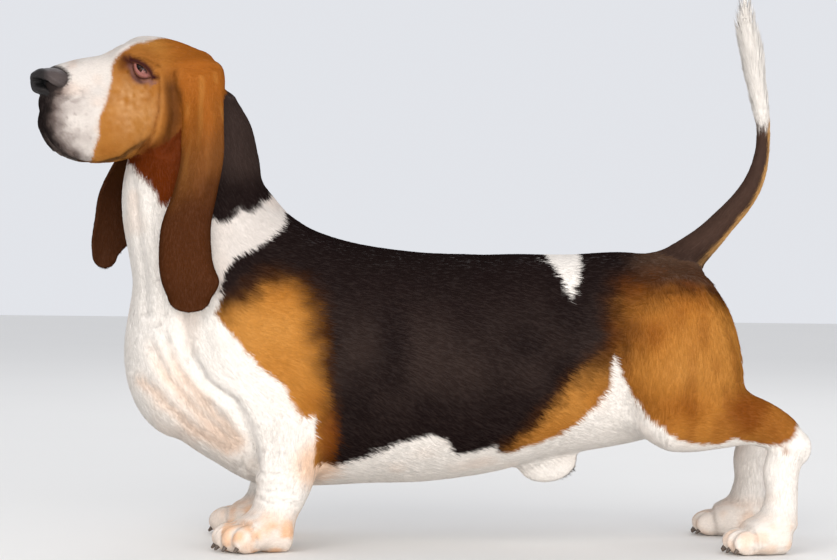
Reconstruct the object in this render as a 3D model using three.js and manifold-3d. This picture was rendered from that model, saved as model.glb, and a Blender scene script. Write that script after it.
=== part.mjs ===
// A standing basset hound, life size, as a set of closed solids.
// Millimetres, +Z up. The dog faces -X, its left side is -Y, and its soles stand on Z = 0.
import * as THREE from "three";
import { ParametricGeometry } from "three/addons/geometries/ParametricGeometry.js";
import { mergeVertices } from "three/addons/utils/BufferGeometryUtils.js";
import Module from "manifold-3d";

const wasm = await Module();
wasm.setup();

// Driving dimensions.
const GAP = 0.3; // between faces that meet
const SIDES = { left: -1, right: 1 }; // sign of Y
const BIG = 900; // reach of a cutting box, past the whole dog

// Head frame: a pivot on the midline behind the ears, turned a little to the left.
const HEAD_PIVOT_X = -235;
const HEAD_TURN = THREE.MathUtils.degToRad(10);

// Parting planes, each a point and the direction of the piece that it cuts off.
const HEAD_CUT = { at: [-246, 0, 431], to: [-0.62, 0, 0.78] };
const NECK_CUT = { at: [-212, 0, 326], to: [-0.4, 0, 0.92] };
const TAIL_CUT = { at: [305, 0, 326], to: [0.68, 0, 0.73] };
const TAIL_MIDDLE_CUT = { at: [361, 0, 400], to: [0.15, 0, 0.99] };
const TAIL_TIP_CUT = { at: [361, 0, 452], to: [-0.1, 0, 0.99] };
const EAR_CUT_Z = 466;
const FORE_PAW_Z = 42;
const HIND_PAW_Z = 34;

// Stations are [x, y, z, side radius, radius up, radius down]. "Up" is the path's direction
// crossed with the side direction: +Z on the trunk, the throat's side on the neck, the rear on a leg.
const TRUNK = [
  [-238, 0, 208, 78, 112, 102],
  [-200, 0, 204, 95, 130, 122],
  [-160, 0, 201, 106, 142, 140],
  [-110, 0, 199, 113, 129, 140],
  [-55, 0, 200, 118, 114, 138],
  [5, 0, 201, 118, 106, 137],
  [60, 0, 203, 112, 103, 131],
  [110, 0, 209, 101, 98, 123],
  [165, 0, 214, 90, 93, 118],
  [225, 0, 219, 90, 91, 112],
  [282, 0, 221, 84, 80, 100],
];
const NECK = [
  [-196, 0, 234, 84, 96, 104],
  [-204, 0, 276, 84, 96, 104],
  [-217, 0, 315, 74, 90, 92],
  [-231, 0, 357, 65, 83, 76],
  [-237, 0, 393, 58, 73, 67],
  [-239, 0, 429, 54, 56, 60],
  [-241, 0, 457, 50, 46, 50],
];
const TAIL = [
  [262, 0, 287, 26, 24, 24],
  [300, 0, 319, 18, 17, 18],
  [323, 0, 342, 14.5, 14.5, 14.5],
  [344, 0, 366, 12.5, 13, 13],
  [357, 0, 390, 10.5, 11, 11.5],
  [363, 0, 416, 8.5, 9, 9.5],
  [364, 0, 440, 8.5, 8.5, 9],
  [361, 0, 464, 11, 11, 11],
  [356, 0, 489, 14.5, 15, 14.5],
  [352, 0, 514, 16.5, 17.5, 16.5],
  [346, 0, 541, 13.5, 15, 14],
  [344, 0, 561, 7, 7.5, 7.5],
];

// Legs, given for the left side (Y below zero) and mirrored for the right.
const FORELEG = [
  [-154, -66, 168, 30, 38, 38],
  [-139, -70, 134, 31, 35, 34],
  [-137, -73, 104, 29, 33, 34],
  [-139, -75, 78, 27, 30, 32],
  [-145, -76, 54, 26, 26, 27],
  [-150, -76, 32, 29, 20, 28],
];
const SHOULDER = { at: [-166, -66, 202], radii: [60, 44, 94], lean: 14 };
const ELBOW = { at: [-114, -76, 126], radii: [13, 15, 24], lean: 10 };
const FORE_PAW = [
  [-146, -76, 20, 29, 24, 24],
  [-165, -80, 19, 33, 22, 23],
  [-179, -87, 16, 33, 18, 20],
];
const FORE_TOES = { from: [-171, -83], reach: 21, turn: 28, spread: 18, size: [19, 11.5, 15], z: 14 };
const THIGH = [
  [262, -56, 268, 36, 44, 44],
  [262, -64, 230, 44, 62, 66],
  [262, -69, 190, 44, 72, 62],
  [258, -73, 156, 38, 70, 44],
  [252, -76, 132, 30, 50, 30],
];
const SHANK = [
  [262, -78, 142, 32, 38, 36],
  [302, -79, 140, 27, 34, 34],
  [340, -79, 137, 20, 27, 27],
  [372, -78, 125, 16, 21, 21],
  [388, -77, 113, 14, 14, 15],
];
const PASTERN = [
  [381, -79, 112, 17, 20, 18],
  [374, -81, 86, 16, 19, 21],
  [373, -84, 60, 16.5, 18, 18],
  [369, -86, 32, 23, 22, 22],
];
const HIND_PAW = [
  [370, -87, 18, 24, 20, 22],
  [352, -89, 17, 29, 20, 23],
  [341, -91, 15, 30, 17, 20],
];
const HIND_TOES = { from: [347, -91], reach: 18.5, turn: 8, spread: 15.5, size: [18, 9.5, 13.5], z: 13 };
const TOE_FAN = 17; // degrees between the paw's line and an outer toe's
// Claw stations: distance past the toe's end, height, radius.
const CLAW = [
  [-5, 12, 3.4],
  [1, 9.5, 3],
  [5, 4, 1.3],
];
const HOCK = { at: [394, -77, 108], radii: [12, 13, 17], lean: 0 };
const SHEATH = { at: [139, 0, 86], radii: [33, 13, 23], lean: 8 };

// Head pieces, in the head's frame: [forward, left, z, side radius, radius up, radius down].
const SKULL = [
  [-4, 0, 469, 54, 45, 40],
  [20, 0, 469, 58, 54, 44],
  [45, 0, 469, 55, 59, 46],
  [66, 0, 469, 46, 57, 46],
  [86, 0, 469, 37, 43, 40],
];
const SKULL_FORM = { caps: [22, 14], rings: 5, around: 18 };
const BRIDGE = [
  [60, 0, 473, 36, 36, 40],
  [90, 0, 472, 31, 36, 38],
  [120, 0, 471, 29, 32, 36],
  [148, 0, 466, 27, 26, 30],
];
const FLEW = [
  [56, 27, 441, 18, 22, 26],
  [80, 26, 438, 21, 32, 41],
  [105, 25, 438, 21, 34, 46],
  [128, 21, 441, 20, 32, 42],
  [146, 15, 450, 17, 26, 30],
];
const JAW = [
  [0, 0, 429, 44, 30, 24],
  [45, 0, 423, 36, 26, 20],
  [90, 0, 420, 24, 22, 19],
  [128, 0, 424, 17, 18, 16],
];
const CHEEK = { at: [44, 34, 450], radii: [34, 22, 38] };
const BROW = { at: [68, 25, 504], radii: [22, 15, 16] };
const EAR_ROOT = { at: [4, 46, 483], radii: [28, 20, 22] };
const NOSE = [
  [142, 0, 478, 19, 15, 17],
  [152, 0, 477, 20, 15, 18],
  [162, 0, 476, 17, 12, 15],
];
const NOSE_CAPS = [4, 10];
const NOSTRIL = { at: [164, 13, 475], radii: [11, 4.5, 4.5] };
const EYE = { at: [63, 35.5, 490], radius: 11 };
const ORBIT = { at: [64, 48, 490], radii: [17, 7.5, 10.5] };
const LID_RADIUS = 2.6;
const LID_HALF_LENGTH = 13;
const LID_RISE = { upper: 6.5, lower: -8 };
const LID_SLANT = -5; // the outer corner lies this much lower than the inner one
const LIP_GROOVE = [
  [60, 42, 416],
  [84, 34, 398],
  [108, 26, 393],
  [132, 15, 402],
  [152, 8, 424],
  [161, 0, 441],
];
const LIP_GROOVE_RADIUS = 2.2;

// Ears: thin hanging leaves [x, y, z, half width, half thickness, bow of the leaf].
const LEFT_EAR = [
  [-232, -52, 491, 20, 4, 6],
  [-231, -68, 469, 22, 4, 10],
  [-228, -80, 435, 20, 3.6, 12],
  [-229, -84, 400, 21, 3.4, 11],
  [-236, -87, 365, 22, 3.4, 10],
  [-245, -92, 330, 25, 3.2, 9],
  [-245, -98, 295, 27, 3, 9],
  [-240, -102, 271, 29, 3, 9],
  [-243, -103, 255, 20, 2.8, 6],
];
const RIGHT_EAR = [
  [-252, 54, 491, 20, 4, 6],
  [-257, 68, 469, 23, 4, 10],
  [-268, 78, 435, 24, 3.6, 12],
  [-284, 80, 400, 24, 3.4, 12],
  [-300, 76, 365, 25, 3.4, 12],
  [-314, 70, 335, 26, 3.2, 10],
  [-322, 64, 310, 22, 3, 8],
  [-329, 60, 295, 13, 2.8, 4],
];

// Colours of the plain solids.
const COAT_BLACK = { color: 0x1e1616, roughness: 0.55 };
const COAT_TAN = { color: 0xb87a3c, roughness: 0.7 };
const COAT_WHITE = { color: 0xe8e2da, roughness: 0.8 };
const COAT_BROWN = { color: 0x6b4026, roughness: 0.6 };
const NOSE_BLACK = { color: 0x2c2a29, roughness: 0.45 };
const CLAW_HORN = { color: 0x3a3028, roughness: 0.5 };
const EYE_BROWN = { color: 0x2a160c, roughness: 0.08 };

const ACROSS = new THREE.Vector3(0, 1, 0); // the side direction of a piece in the dog's own frame

// Smooth row between stations: each column runs through its values as a Catmull-Rom curve.
function rowAt(stations, t) {
  const place = t * (stations.length - 1);
  const i = Math.min(Math.floor(place), stations.length - 2);
  const f = place - i;
  const pick = (k) => stations[Math.min(Math.max(k, 0), stations.length - 1)];
  const [a, b, c, d] = [pick(i - 1), pick(i), pick(i + 1), pick(i + 2)];
  return b.map(
    (_, k) =>
      b[k] +
      0.5 * f * (c[k] - a[k] + f * (2 * a[k] - 5 * b[k] + 4 * c[k] - d[k] + f * (3 * (b[k] - c[k]) + d[k] - a[k]))),
  );
}

// A closed mesh geometry as a solid, its like points merged and its collapsed faces dropped.
function solidOf(geometry) {
  geometry.deleteAttribute("normal");
  geometry.deleteAttribute("uv");
  const merged = mergeVertices(geometry, 1e-3);
  const index = merged.index.array;
  const kept = [];
  for (let i = 0; i < index.length; i += 3) {
    const [a, b, c] = [index[i], index[i + 1], index[i + 2]];
    if (a !== b && b !== c && c !== a) kept.push(a, b, c);
  }
  const make = (triangles) =>
    new wasm.Manifold(
      new wasm.Mesh({
        numProp: 3,
        vertProperties: new Float32Array(merged.attributes.position.array),
        triVerts: new Uint32Array(triangles),
      }),
    );
  const made = make(kept);
  return made.volume() > 0 ? made : make(kept.toReversed());
}

// Frame of a path at t: its point's row, its direction, and the side and up directions across it.
function frameAt(stations, t, side) {
  const step = 1e-3;
  const before = rowAt(stations, Math.max(t - step, 0));
  const after = rowAt(stations, Math.min(t + step, 1));
  const along = new THREE.Vector3(...after.slice(0, 3)).sub(new THREE.Vector3(...before.slice(0, 3))).normalize();
  const across = side.clone().addScaledVector(along, -side.dot(along)).normalize();
  return { row: rowAt(stations, t), along, across, up: along.clone().cross(across) };
}

// A body carried along a path: oval sections, closed at each end by a half-ellipsoid of the cap's length.
function loft(stations, { caps, rings, around, capRings = 2, power = 2, grow = 0, side = ACROSS }) {
  const rows = rings + 2 * capRings;
  const ring = (v) => {
    const k = v * rows;
    if (k < capRings) return { t: 0, tilt: -Math.acos(k / capRings), cap: caps[0] };
    if (k > rows - capRings) return { t: 1, tilt: Math.acos((rows - k) / capRings), cap: caps[1] };
    return { t: (k - capRings) / rings, tilt: 0, cap: 0 };
  };
  const bend = (value) => Math.sign(value) * Math.abs(value) ** (2 / power);
  const geometry = new ParametricGeometry(
    (u, v, target) => {
      const { t, tilt, cap } = ring(v);
      const { row, along, across, up } = frameAt(stations, t, side);
      const angle = 2 * Math.PI * (u < 1 ? u : 0);
      const shrink = Math.abs(tilt) > 1.57 ? 0 : Math.cos(tilt);
      const high = Math.sin(angle) > 0 ? row[4] : row[5];
      target
        .set(row[0], row[1], row[2])
        .addScaledVector(across, bend(Math.cos(angle)) * (row[3] + grow) * shrink)
        .addScaledVector(up, bend(Math.sin(angle)) * (high + grow) * shrink)
        .addScaledVector(along, Math.sin(tilt) * (cap + grow));
    },
    around,
    rows,
  );
  return solidOf(geometry);
}

// An ellipsoid with radii along X, Y and Z, leaned forwards in side view by an angle in degrees.
function ellipsoid({ at, radii, lean = 0 }, segments = 16, grow = 0) {
  const geometry = new THREE.SphereGeometry(1, segments, Math.round(segments * 0.6));
  geometry.scale(...radii.map((radius) => radius + grow));
  geometry.rotateY(THREE.MathUtils.degToRad(-lean));
  geometry.translate(...at);
  return solidOf(geometry);
}

// A hanging leaf: a thin oval section whose edges bow towards the head, rounded off at the tip.
function leaf(stations, bowSide) {
  const rings = 12;
  const around = 12;
  const geometry = new ParametricGeometry(
    (u, v, target) => {
      const k = v * (rings + 4);
      const t = Math.min(Math.max((k - 1) / rings, 0), 1);
      const tip = k > rings + 1 ? (k - rings - 1) / 3 : 0;
      const shrink = k < 0.5 || tip > 0.999 ? 0 : Math.sqrt(1 - tip * tip);
      const row = rowAt(stations, t);
      const angle = 2 * Math.PI * (u < 1 ? u : 0);
      const s = Math.cos(angle);
      const bow = row[5] * (s * shrink) ** 2;
      target.set(
        row[0] + s * row[3] * shrink,
        row[1] - bowSide * (bow - Math.sin(angle) * row[4] * shrink),
        row[2] - tip * 12,
      );
    },
    around,
    rings + 4,
  );
  return solidOf(geometry);
}

const mirrored = (stations) => stations.map(([x, y, ...rest]) => [x, -y, ...rest]);
const onSide = (part, sign) => (sign < 0 ? part : { ...part, at: [part.at[0], -part.at[1], part.at[2]] });
const union = (solids) => solids.reduce((whole, piece) => whole.add(piece));

// The largest closed body of a cut solid.
const largest = (solid) => solid.decompose().reduce((best, body) => (body.volume() > best.volume() ? body : best));

// A box between two corners.
function box(low, high) {
  const geometry = new THREE.BoxGeometry(high[0] - low[0], high[1] - low[1], high[2] - low[2]);
  geometry.translate((low[0] + high[0]) / 2, (low[1] + high[1]) / 2, (low[2] + high[2]) / 2);
  return solidOf(geometry);
}

// Everything beyond a plane, moved back by an offset along its direction.
function beyond({ at, to }, offset = 0) {
  const direction = new THREE.Vector3(...to).normalize();
  const geometry = new THREE.BoxGeometry(BIG, BIG, BIG);
  geometry.translate(0, 0, BIG / 2 + offset);
  geometry.applyQuaternion(new THREE.Quaternion().setFromUnitVectors(new THREE.Vector3(0, 0, 1), direction));
  geometry.translate(...at);
  return solidOf(geometry);
}

// From the head's frame to the dog's: forward runs to the nose, left to the dog's left ear.
function headPoint([forward, left, z]) {
  const x = HEAD_PIVOT_X - forward * Math.cos(HEAD_TURN) + left * Math.sin(HEAD_TURN);
  const y = -forward * Math.sin(HEAD_TURN) - left * Math.cos(HEAD_TURN);
  return [x, y, z];
}
const headStations = (stations, mirror = 1) =>
  stations.map(([forward, left, z, ...radii]) => [...headPoint([forward, left * mirror, z]), ...radii]);
const headSide = new THREE.Vector3(Math.sin(HEAD_TURN), -Math.cos(HEAD_TURN), 0);

// An ellipsoid in the head's frame, on its left (mirror 1) or right (mirror -1).
function headEllipsoid({ at, radii }, mirror = 1, segments = 12, grow = 0) {
  const geometry = new THREE.SphereGeometry(1, segments, Math.round(segments * 0.7));
  geometry.scale(...radii.map((radius) => radius + grow));
  geometry.rotateZ(HEAD_TURN);
  geometry.translate(...headPoint([at[0], at[1] * mirror, at[2]]));
  return solidOf(geometry);
}

const headLoft = (stations, mirror, options) => loft(headStations(stations, mirror), { side: headSide, ...options });

// Where a paw's four toes lie: each one's middle and the way that it points, seen from above.
function toePlaces({ from, reach, turn, spread, z }, sign) {
  return [-1, -0.33, 0.33, 1].map((place) => {
    const line = THREE.MathUtils.degToRad(turn);
    const angle = THREE.MathUtils.degToRad(turn + place * TOE_FAN);
    const forward = reach * (1 - 0.2 * place * place);
    const x = from[0] - Math.cos(line) * forward + Math.sin(line) * place * spread;
    const y = from[1] - Math.sin(line) * forward - Math.cos(line) * place * spread;
    return { at: [x, sign < 0 ? y : -y, z], angle: sign < 0 ? angle : -angle };
  });
}

function toes(paw, sign) {
  const made = toePlaces(paw, sign).map(({ at, angle }) => {
    const geometry = new THREE.SphereGeometry(1, 8, 6);
    geometry.scale(...paw.size);
    geometry.rotateZ(angle);
    geometry.translate(...at);
    return solidOf(geometry);
  });
  return union(made);
}

// A claw, rooted in the tip of its toe and curving down short of the floor.
function claw(paw, { at, angle }, grow) {
  const forward = (distance) => [at[0] - Math.cos(angle) * distance, at[1] - Math.sin(angle) * distance];
  const stations = CLAW.map(([beyondToe, z, radius]) => [
    ...forward(paw.size[0] + beyondToe), z, radius * 0.8, radius, radius,
  ]);
  return loft(stations, { caps: [1, 1], rings: 2, around: 6, capRings: 1, grow });
}

// Nothing of the dog lies under the floor.
const aboveFloor = box([-BIG, -BIG, 0], [BIG, BIG, BIG]);
const below = (z) => box([-BIG, -BIG, -1], [BIG, BIG, z]);

const trunkSolid = (grow) => loft(TRUNK, { caps: [70, 38], rings: 16, around: 24, capRings: 3, power: 2.15, grow });
const shoulderSolid = (sign, grow) => ellipsoid(onSide(SHOULDER, sign), 16, grow);
const onLeg = (stations, sign) => (sign < 0 ? stations : mirrored(stations));
const thighSolid = (sign, grow) => loft(onLeg(THIGH, sign), { caps: [22, 24], rings: 7, around: 16, grow });

// A foreleg below the shoulder, with its elbow and paw.
function foreleg(sign) {
  return union([
    loft(onLeg(FORELEG, sign), { caps: [20, 16], rings: 8, around: 14 }),
    loft(onLeg(FORE_PAW, sign), { caps: [14, 10], rings: 3, around: 14, power: 2.4 }),
    toes(FORE_TOES, sign),
    ellipsoid(onSide(ELBOW, sign), 10),
  ]);
}

// A hind leg below the thigh: shank, hock, pastern and paw.
function hindleg(sign) {
  return union([
    loft(onLeg(SHANK, sign), { caps: [24, 14], rings: 6, around: 12 }),
    loft(onLeg(PASTERN, sign), { caps: [12, 10], rings: 5, around: 12 }),
    loft(onLeg(HIND_PAW, sign), { caps: [14, 8], rings: 3, around: 12, power: 2.4 }),
    toes(HIND_TOES, sign),
    ellipsoid(onSide(HOCK, sign), 10),
  ]);
}

// A lid: a short rounded rim arching over or under the eyeball, its ends at the two corners of the eye.
function lid(mirror, rise) {
  const stations = [];
  for (let i = 0; i <= 4; i += 1) {
    const place = i / 2 - 1;
    const arch = 1 - place * place;
    stations.push([
      EYE.at[0] - place * LID_HALF_LENGTH,
      EYE.at[1] + 3 + 6 * arch,
      EYE.at[2] + rise * arch + (place + 1) * 0.5 * LID_SLANT + 2,
      LID_RADIUS,
      LID_RADIUS,
      LID_RADIUS,
    ]);
  }
  return headLoft(stations, mirror, { caps: [2, 2], rings: 5, around: 5 });
}

function lipGroove(mirror) {
  const stations = LIP_GROOVE.map((point) => [...point, LIP_GROOVE_RADIUS, LIP_GROOVE_RADIUS, LIP_GROOVE_RADIUS]);
  return headLoft(stations, mirror, { caps: [2, 2], rings: 7, around: 5 });
}

// The head in one piece: skull, bridge of the muzzle, jaw, hanging flews, cheeks, brows, and the roots of the ears.
function headSolid() {
  const pieces = [
    headLoft(SKULL, 1, SKULL_FORM),
    headLoft(BRIDGE, 1, { caps: [20, 14], rings: 4, around: 14, power: 2.3 }),
    headLoft(JAW, 1, { caps: [16, 14], rings: 4, around: 12 }),
  ];
  const cuts = [];
  for (const mirror of [1, -1]) {
    pieces.push(headLoft(FLEW, mirror, { caps: [16, 14], rings: 5, around: 14 }));
    pieces.push(headEllipsoid(CHEEK, mirror), headEllipsoid(BROW, mirror), headEllipsoid(EAR_ROOT, mirror));
    cuts.push(headEllipsoid(ORBIT, mirror));
  }
  const hollowed = cuts.reduce((head, cut) => head.subtract(cut), union(pieces));
  const rims = [];
  for (const mirror of [1, -1]) rims.push(lid(mirror, LID_RISE.upper), lid(mirror, LID_RISE.lower));
  return [lipGroove(1), lipGroove(-1)].reduce((head, groove) => head.subtract(groove), union([hollowed, ...rims]));
}

const eyeball = (mirror, grow = 0) =>
  headEllipsoid({ at: EYE.at, radii: [EYE.radius, EYE.radius, EYE.radius] }, mirror, 10, grow);

const noseSolid = (grow) =>
  headLoft(NOSE, 1, { caps: NOSE_CAPS, rings: 2, around: 12, power: 2.3, grow });

// The trunk, neck, head and tail in one, then parted by planes.
const neckSolid = (grow) => loft(NECK, { caps: [40, 20], rings: 8, around: 20, grow });
const signs = Object.values(SIDES);
const earLeaves = { left: leaf(LEFT_EAR, -1), right: leaf(RIGHT_EAR, 1) };
const earTop = (grow) => box([-BIG, -BIG, EAR_CUT_Z - grow], [BIG, BIG, BIG]);
const whole = union([
  trunkSolid(0),
  neckSolid(0),
  headSolid(),
  loft(TAIL, { caps: [20, 14], rings: 18, around: 10 }),
  ellipsoid(SHEATH, 12),
  ...signs.map((sign) => shoulderSolid(sign, 0)),
  ...Object.values(earLeaves).map((ear) => ear.intersect(earTop(0))),
]);
const withoutHead = whole.subtract(beyond(HEAD_CUT, -GAP));
const tailZone = box([270, -60, 300], [BIG, 60, BIG]);
const tailWhole = withoutHead.intersect(tailZone).intersect(beyond(TAIL_CUT));
const tailGap = tailZone.intersect(beyond(TAIL_CUT, -GAP));

const parts = {};
const add = (name, solid, material) => {
  parts[name] = { solid: largest(solid), material };
};

const eyeSockets = union([eyeball(1, GAP), eyeball(-1, GAP)]);
add("head", whole.intersect(beyond(HEAD_CUT)).subtract(noseSolid(GAP)).subtract(eyeSockets), COAT_TAN);
const nostrils = union([headEllipsoid(NOSTRIL, 1, 8), headEllipsoid(NOSTRIL, -1, 8)]);
add("nose", noseSolid(0).subtract(nostrils), NOSE_BLACK);
add("left_eye", eyeball(1), EYE_BROWN);
add("right_eye", eyeball(-1), EYE_BROWN);
const earSurround = union([
  earTop(GAP),
  neckSolid(GAP),
  headLoft(SKULL, 1, { ...SKULL_FORM, grow: GAP }),
  headEllipsoid(EAR_ROOT, 1, 12, GAP),
  headEllipsoid(EAR_ROOT, -1, 12, GAP),
]);
for (const name of Object.keys(SIDES)) add(`${name}_ear`, earLeaves[name].subtract(earSurround), COAT_BROWN);
add("neck", withoutHead.intersect(beyond(NECK_CUT)).subtract(tailGap), COAT_WHITE);
add("tail_root", tailWhole.subtract(beyond(TAIL_MIDDLE_CUT, -GAP)), COAT_BLACK);
add("tail_middle", tailWhole.intersect(beyond(TAIL_MIDDLE_CUT)).subtract(beyond(TAIL_TIP_CUT, -GAP)), COAT_BLACK);
add("tail_tip", tailWhole.intersect(beyond(TAIL_TIP_CUT)), COAT_WHITE);

add("torso", withoutHead.subtract(beyond(NECK_CUT, -GAP)).subtract(tailGap), COAT_BLACK);
// Adds a paw's four claws and returns the paw with their sockets cut into it.
function addClaws(name, toeRow, sign, paw) {
  return toePlaces(toeRow, sign).reduce((rest, place, i) => {
    add(`${name}_${i + 1}`, claw(toeRow, place, 0), CLAW_HORN);
    return rest.subtract(claw(toeRow, place, GAP));
  }, paw);
}

for (const [name, sign] of Object.entries(SIDES)) {
  const trunkSurround = union([trunkSolid(GAP), shoulderSolid(sign, GAP)]);
  const fore = foreleg(sign).intersect(aboveFloor).subtract(trunkSurround);
  const hind = hindleg(sign).intersect(aboveFloor).subtract(trunkSurround).subtract(thighSolid(sign, GAP));
  add(`${name}_foreleg`, fore.subtract(below(FORE_PAW_Z)), COAT_WHITE);
  const forePaw = fore.intersect(below(FORE_PAW_Z - GAP));
  const hindPaw = hind.intersect(below(HIND_PAW_Z - GAP));
  add(`${name}_fore_paw`, addClaws(`${name}_fore_claw`, FORE_TOES, sign, forePaw), COAT_WHITE);
  add(`${name}_thigh`, thighSolid(sign, 0).subtract(trunkSolid(GAP)).subtract(tailGap), COAT_TAN);
  add(`${name}_hind_leg`, hind.subtract(below(HIND_PAW_Z)), COAT_TAN);
  add(`${name}_hind_paw`, addClaws(`${name}_hind_claw`, HIND_TOES, sign, hindPaw), COAT_WHITE);
}

// One named mesh for each part, the dog centred over the origin.
const dog = new THREE.Group();
for (const [name, { solid, material }] of Object.entries(parts)) {
  const { numProp, vertProperties, triVerts } = solid.getMesh();
  const points = new Float32Array((vertProperties.length / numProp) * 3);
  for (let i = 0; i * numProp < vertProperties.length; i += 1) {
    points.set(vertProperties.subarray(i * numProp, i * numProp + 3), i * 3);
  }
  const geometry = new THREE.BufferGeometry();
  geometry.setAttribute("position", new THREE.BufferAttribute(points, 3));
  geometry.setIndex(new THREE.BufferAttribute(new Uint32Array(triVerts), 1));
  geometry.computeVertexNormals();
  const mesh = new THREE.Mesh(geometry, new THREE.MeshStandardMaterial({ ...material, metalness: 0 }));
  mesh.name = name;
  dog.add(mesh);
}
const bounds = new THREE.Box3().setFromObject(dog);
const centre = bounds.getCenter(new THREE.Vector3());
dog.position.set(-centre.x, -centre.y, -bounds.min.z);

export default dog;
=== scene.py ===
"""A standing basset hound, life size: one seamless skin under a short coat, with its eyes, nose and claws.

Sizes are millimetres in the dog's own frame, as in the part's source: +Z up, nose towards -X, left side
at -Y, soles at Z = 0. The flesh is a field of distances: bodies carried along paths, ovals and hanging
leaves, blended into each other, whose zero level is drawn as one closed net. The coat is tufts rooted
on that skin. Skin and coat take their colours from the same function of place.
"""
import math

import bmesh
import bpy
import numpy as np
from mathutils import Matrix, Vector


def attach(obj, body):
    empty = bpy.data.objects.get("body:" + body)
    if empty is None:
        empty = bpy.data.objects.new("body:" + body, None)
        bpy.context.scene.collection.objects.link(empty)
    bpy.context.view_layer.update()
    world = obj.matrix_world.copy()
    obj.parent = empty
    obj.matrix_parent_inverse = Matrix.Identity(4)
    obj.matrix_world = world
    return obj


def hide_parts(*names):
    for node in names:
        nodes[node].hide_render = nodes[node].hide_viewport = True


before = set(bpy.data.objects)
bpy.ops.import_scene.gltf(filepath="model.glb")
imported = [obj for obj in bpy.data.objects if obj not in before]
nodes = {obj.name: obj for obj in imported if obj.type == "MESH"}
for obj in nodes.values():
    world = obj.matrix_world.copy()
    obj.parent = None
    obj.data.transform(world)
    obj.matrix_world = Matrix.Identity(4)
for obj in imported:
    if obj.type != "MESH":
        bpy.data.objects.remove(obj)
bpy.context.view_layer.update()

# The photograph's camera, and the size of its picture in pixels.
PICTURE = (837, 560)
CAMERA_DISTANCE = 3200.0
CAMERA_HEIGHT = 360.0
CAMERA_AZIMUTH = math.radians(5.0)
CAMERA_ROLL = math.radians(0.8)
HORIZON_ROW = 200.5
MM_PER_PIXEL = 1.05  # on the dog's midline

FAR = 1000.0
MM = 0.001
DOG_TO_PART = np.array([-0.675, 0.0, 0.0])  # the part stands centred over its own origin
COAT_DEPTH = 2.0
SKIN_FACES = 190000
SKIN_FLOOR = 0.4  # the lowest that skin and hair reach above the floor
HAIR_FLOOR = 0.2
# The net's grid on each axis: places, and the step that holds from each up to the next.
GRID_X = [(-424, 2.1), (-205, 3.6), (-110, 5.5), (220, 4.2), (416, 1)]
GRID_Y = [(-138, 2.3), (-48, 3.6), (48, 2.3), (138, 1)]
GRID_Z = [(-6, 2.8), (60, 4.8), (232, 2.1), (500, 4.0), (585, 1)]
GRID_BATCH = 200000
PATH_ROWS = 200  # rows worked out along an ear, a nose or a claw
CAP_RINGS = 10
PATCH_HALF = 0.0015  # half the side of a tuft's patch on the bake map
TUFT_SINK = 0.35  # how deep a tuft's root goes into the skin
RIDGE_AT = 0.22  # where a tuft's ridge stands along it, and its height for the tuft's width
RIDGE_HEIGHT = 0.3
SENSOR_WIDTH = 36.0
seed = np.random.default_rng(7)

# The head's frame: a pivot on the midline behind the ears, turned a little to the dog's left.
HEAD_PIVOT_X = -235.0
HEAD_TURN = math.radians(10.0)
ACROSS = np.array([0.0, 1.0, 0.0])
HEAD_SIDE = np.array([math.sin(HEAD_TURN), -math.cos(HEAD_TURN), 0.0])

# Stations [x, y, z, side radius, radius up, radius down], as in the part's source.
TRUNK = [
    [-238, 0, 208, 78, 112, 102], [-200, 0, 204, 95, 130, 122], [-160, 0, 201, 106, 142, 140],
    [-110, 0, 199, 113, 129, 140], [-55, 0, 200, 118, 114, 138], [5, 0, 201, 118, 106, 137],
    [60, 0, 203, 112, 103, 131], [110, 0, 209, 101, 98, 123], [165, 0, 214, 90, 93, 118],
    [225, 0, 219, 90, 91, 112], [282, 0, 221, 84, 80, 100],
]
NECK = [
    [-196, 0, 234, 84, 96, 104], [-204, 0, 276, 84, 96, 100], [-217, 0, 315, 74, 90, 85],
    [-231, 0, 357, 65, 83, 71], [-237, 0, 393, 58, 73, 70], [-239, 0, 429, 54, 56, 64],
    [-241, 0, 457, 50, 46, 50],
]
TAIL = [
    [262, 0, 287, 26, 24, 24], [300, 0, 319, 18, 17, 18], [323, 0, 342, 14.5, 14.5, 14.5],
    [344, 0, 366, 12.5, 13, 13], [357, 0, 390, 10.5, 11, 11.5], [363, 0, 416, 8.5, 9, 9.5],
    [364, 0, 440, 8.5, 8.5, 9], [361, 0, 464, 9.5, 9.5, 9.5], [356, 0, 489, 12, 11.5, 11],
    [352, 0, 514, 12.5, 12.5, 12], [346, 0, 541, 10.5, 11, 10.5], [344, 0, 561, 5.5, 6, 6],
]
FORELEG = [
    [-154, -66, 168, 30, 38, 38], [-139, -70, 134, 31, 35, 34], [-137, -73, 104, 29, 33, 34],
    [-139, -75, 78, 27, 30, 32], [-145, -76, 54, 26, 26, 27], [-150, -76, 32, 29, 20, 28],
]
FORE_PAW = [[-146, -76, 20, 29, 24, 24], [-165, -80, 19, 33, 22, 23], [-179, -87, 16, 33, 18, 20]]
FORE_TOES = {"start": (-171, -83), "reach": 24, "turn": 28, "spread": 18, "size": (19.5, 11.5, 15), "z": 14}
THIGH = [
    [258, -54, 258, 36, 46, 44], [262, -64, 230, 44, 62, 66], [262, -69, 190, 44, 72, 62],
    [258, -73, 156, 38, 70, 44], [252, -76, 132, 30, 50, 30],
]
SHANK = [
    [262, -78, 142, 32, 38, 36], [302, -79, 140, 27, 34, 34], [340, -79, 137, 20, 27, 27],
    [372, -78, 125, 16, 21, 21], [388, -77, 113, 14, 14, 15],
]
PASTERN = [
    [381, -79, 112, 17, 20, 18], [374, -81, 86, 16, 19, 21], [373, -84, 60, 16.5, 18, 18],
    [369, -86, 32, 23, 22, 22],
]
HIND_PAW = [[370, -87, 18, 24, 20, 22], [352, -89, 17, 29, 20, 23], [341, -91, 15, 30, 17, 20]]
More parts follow.
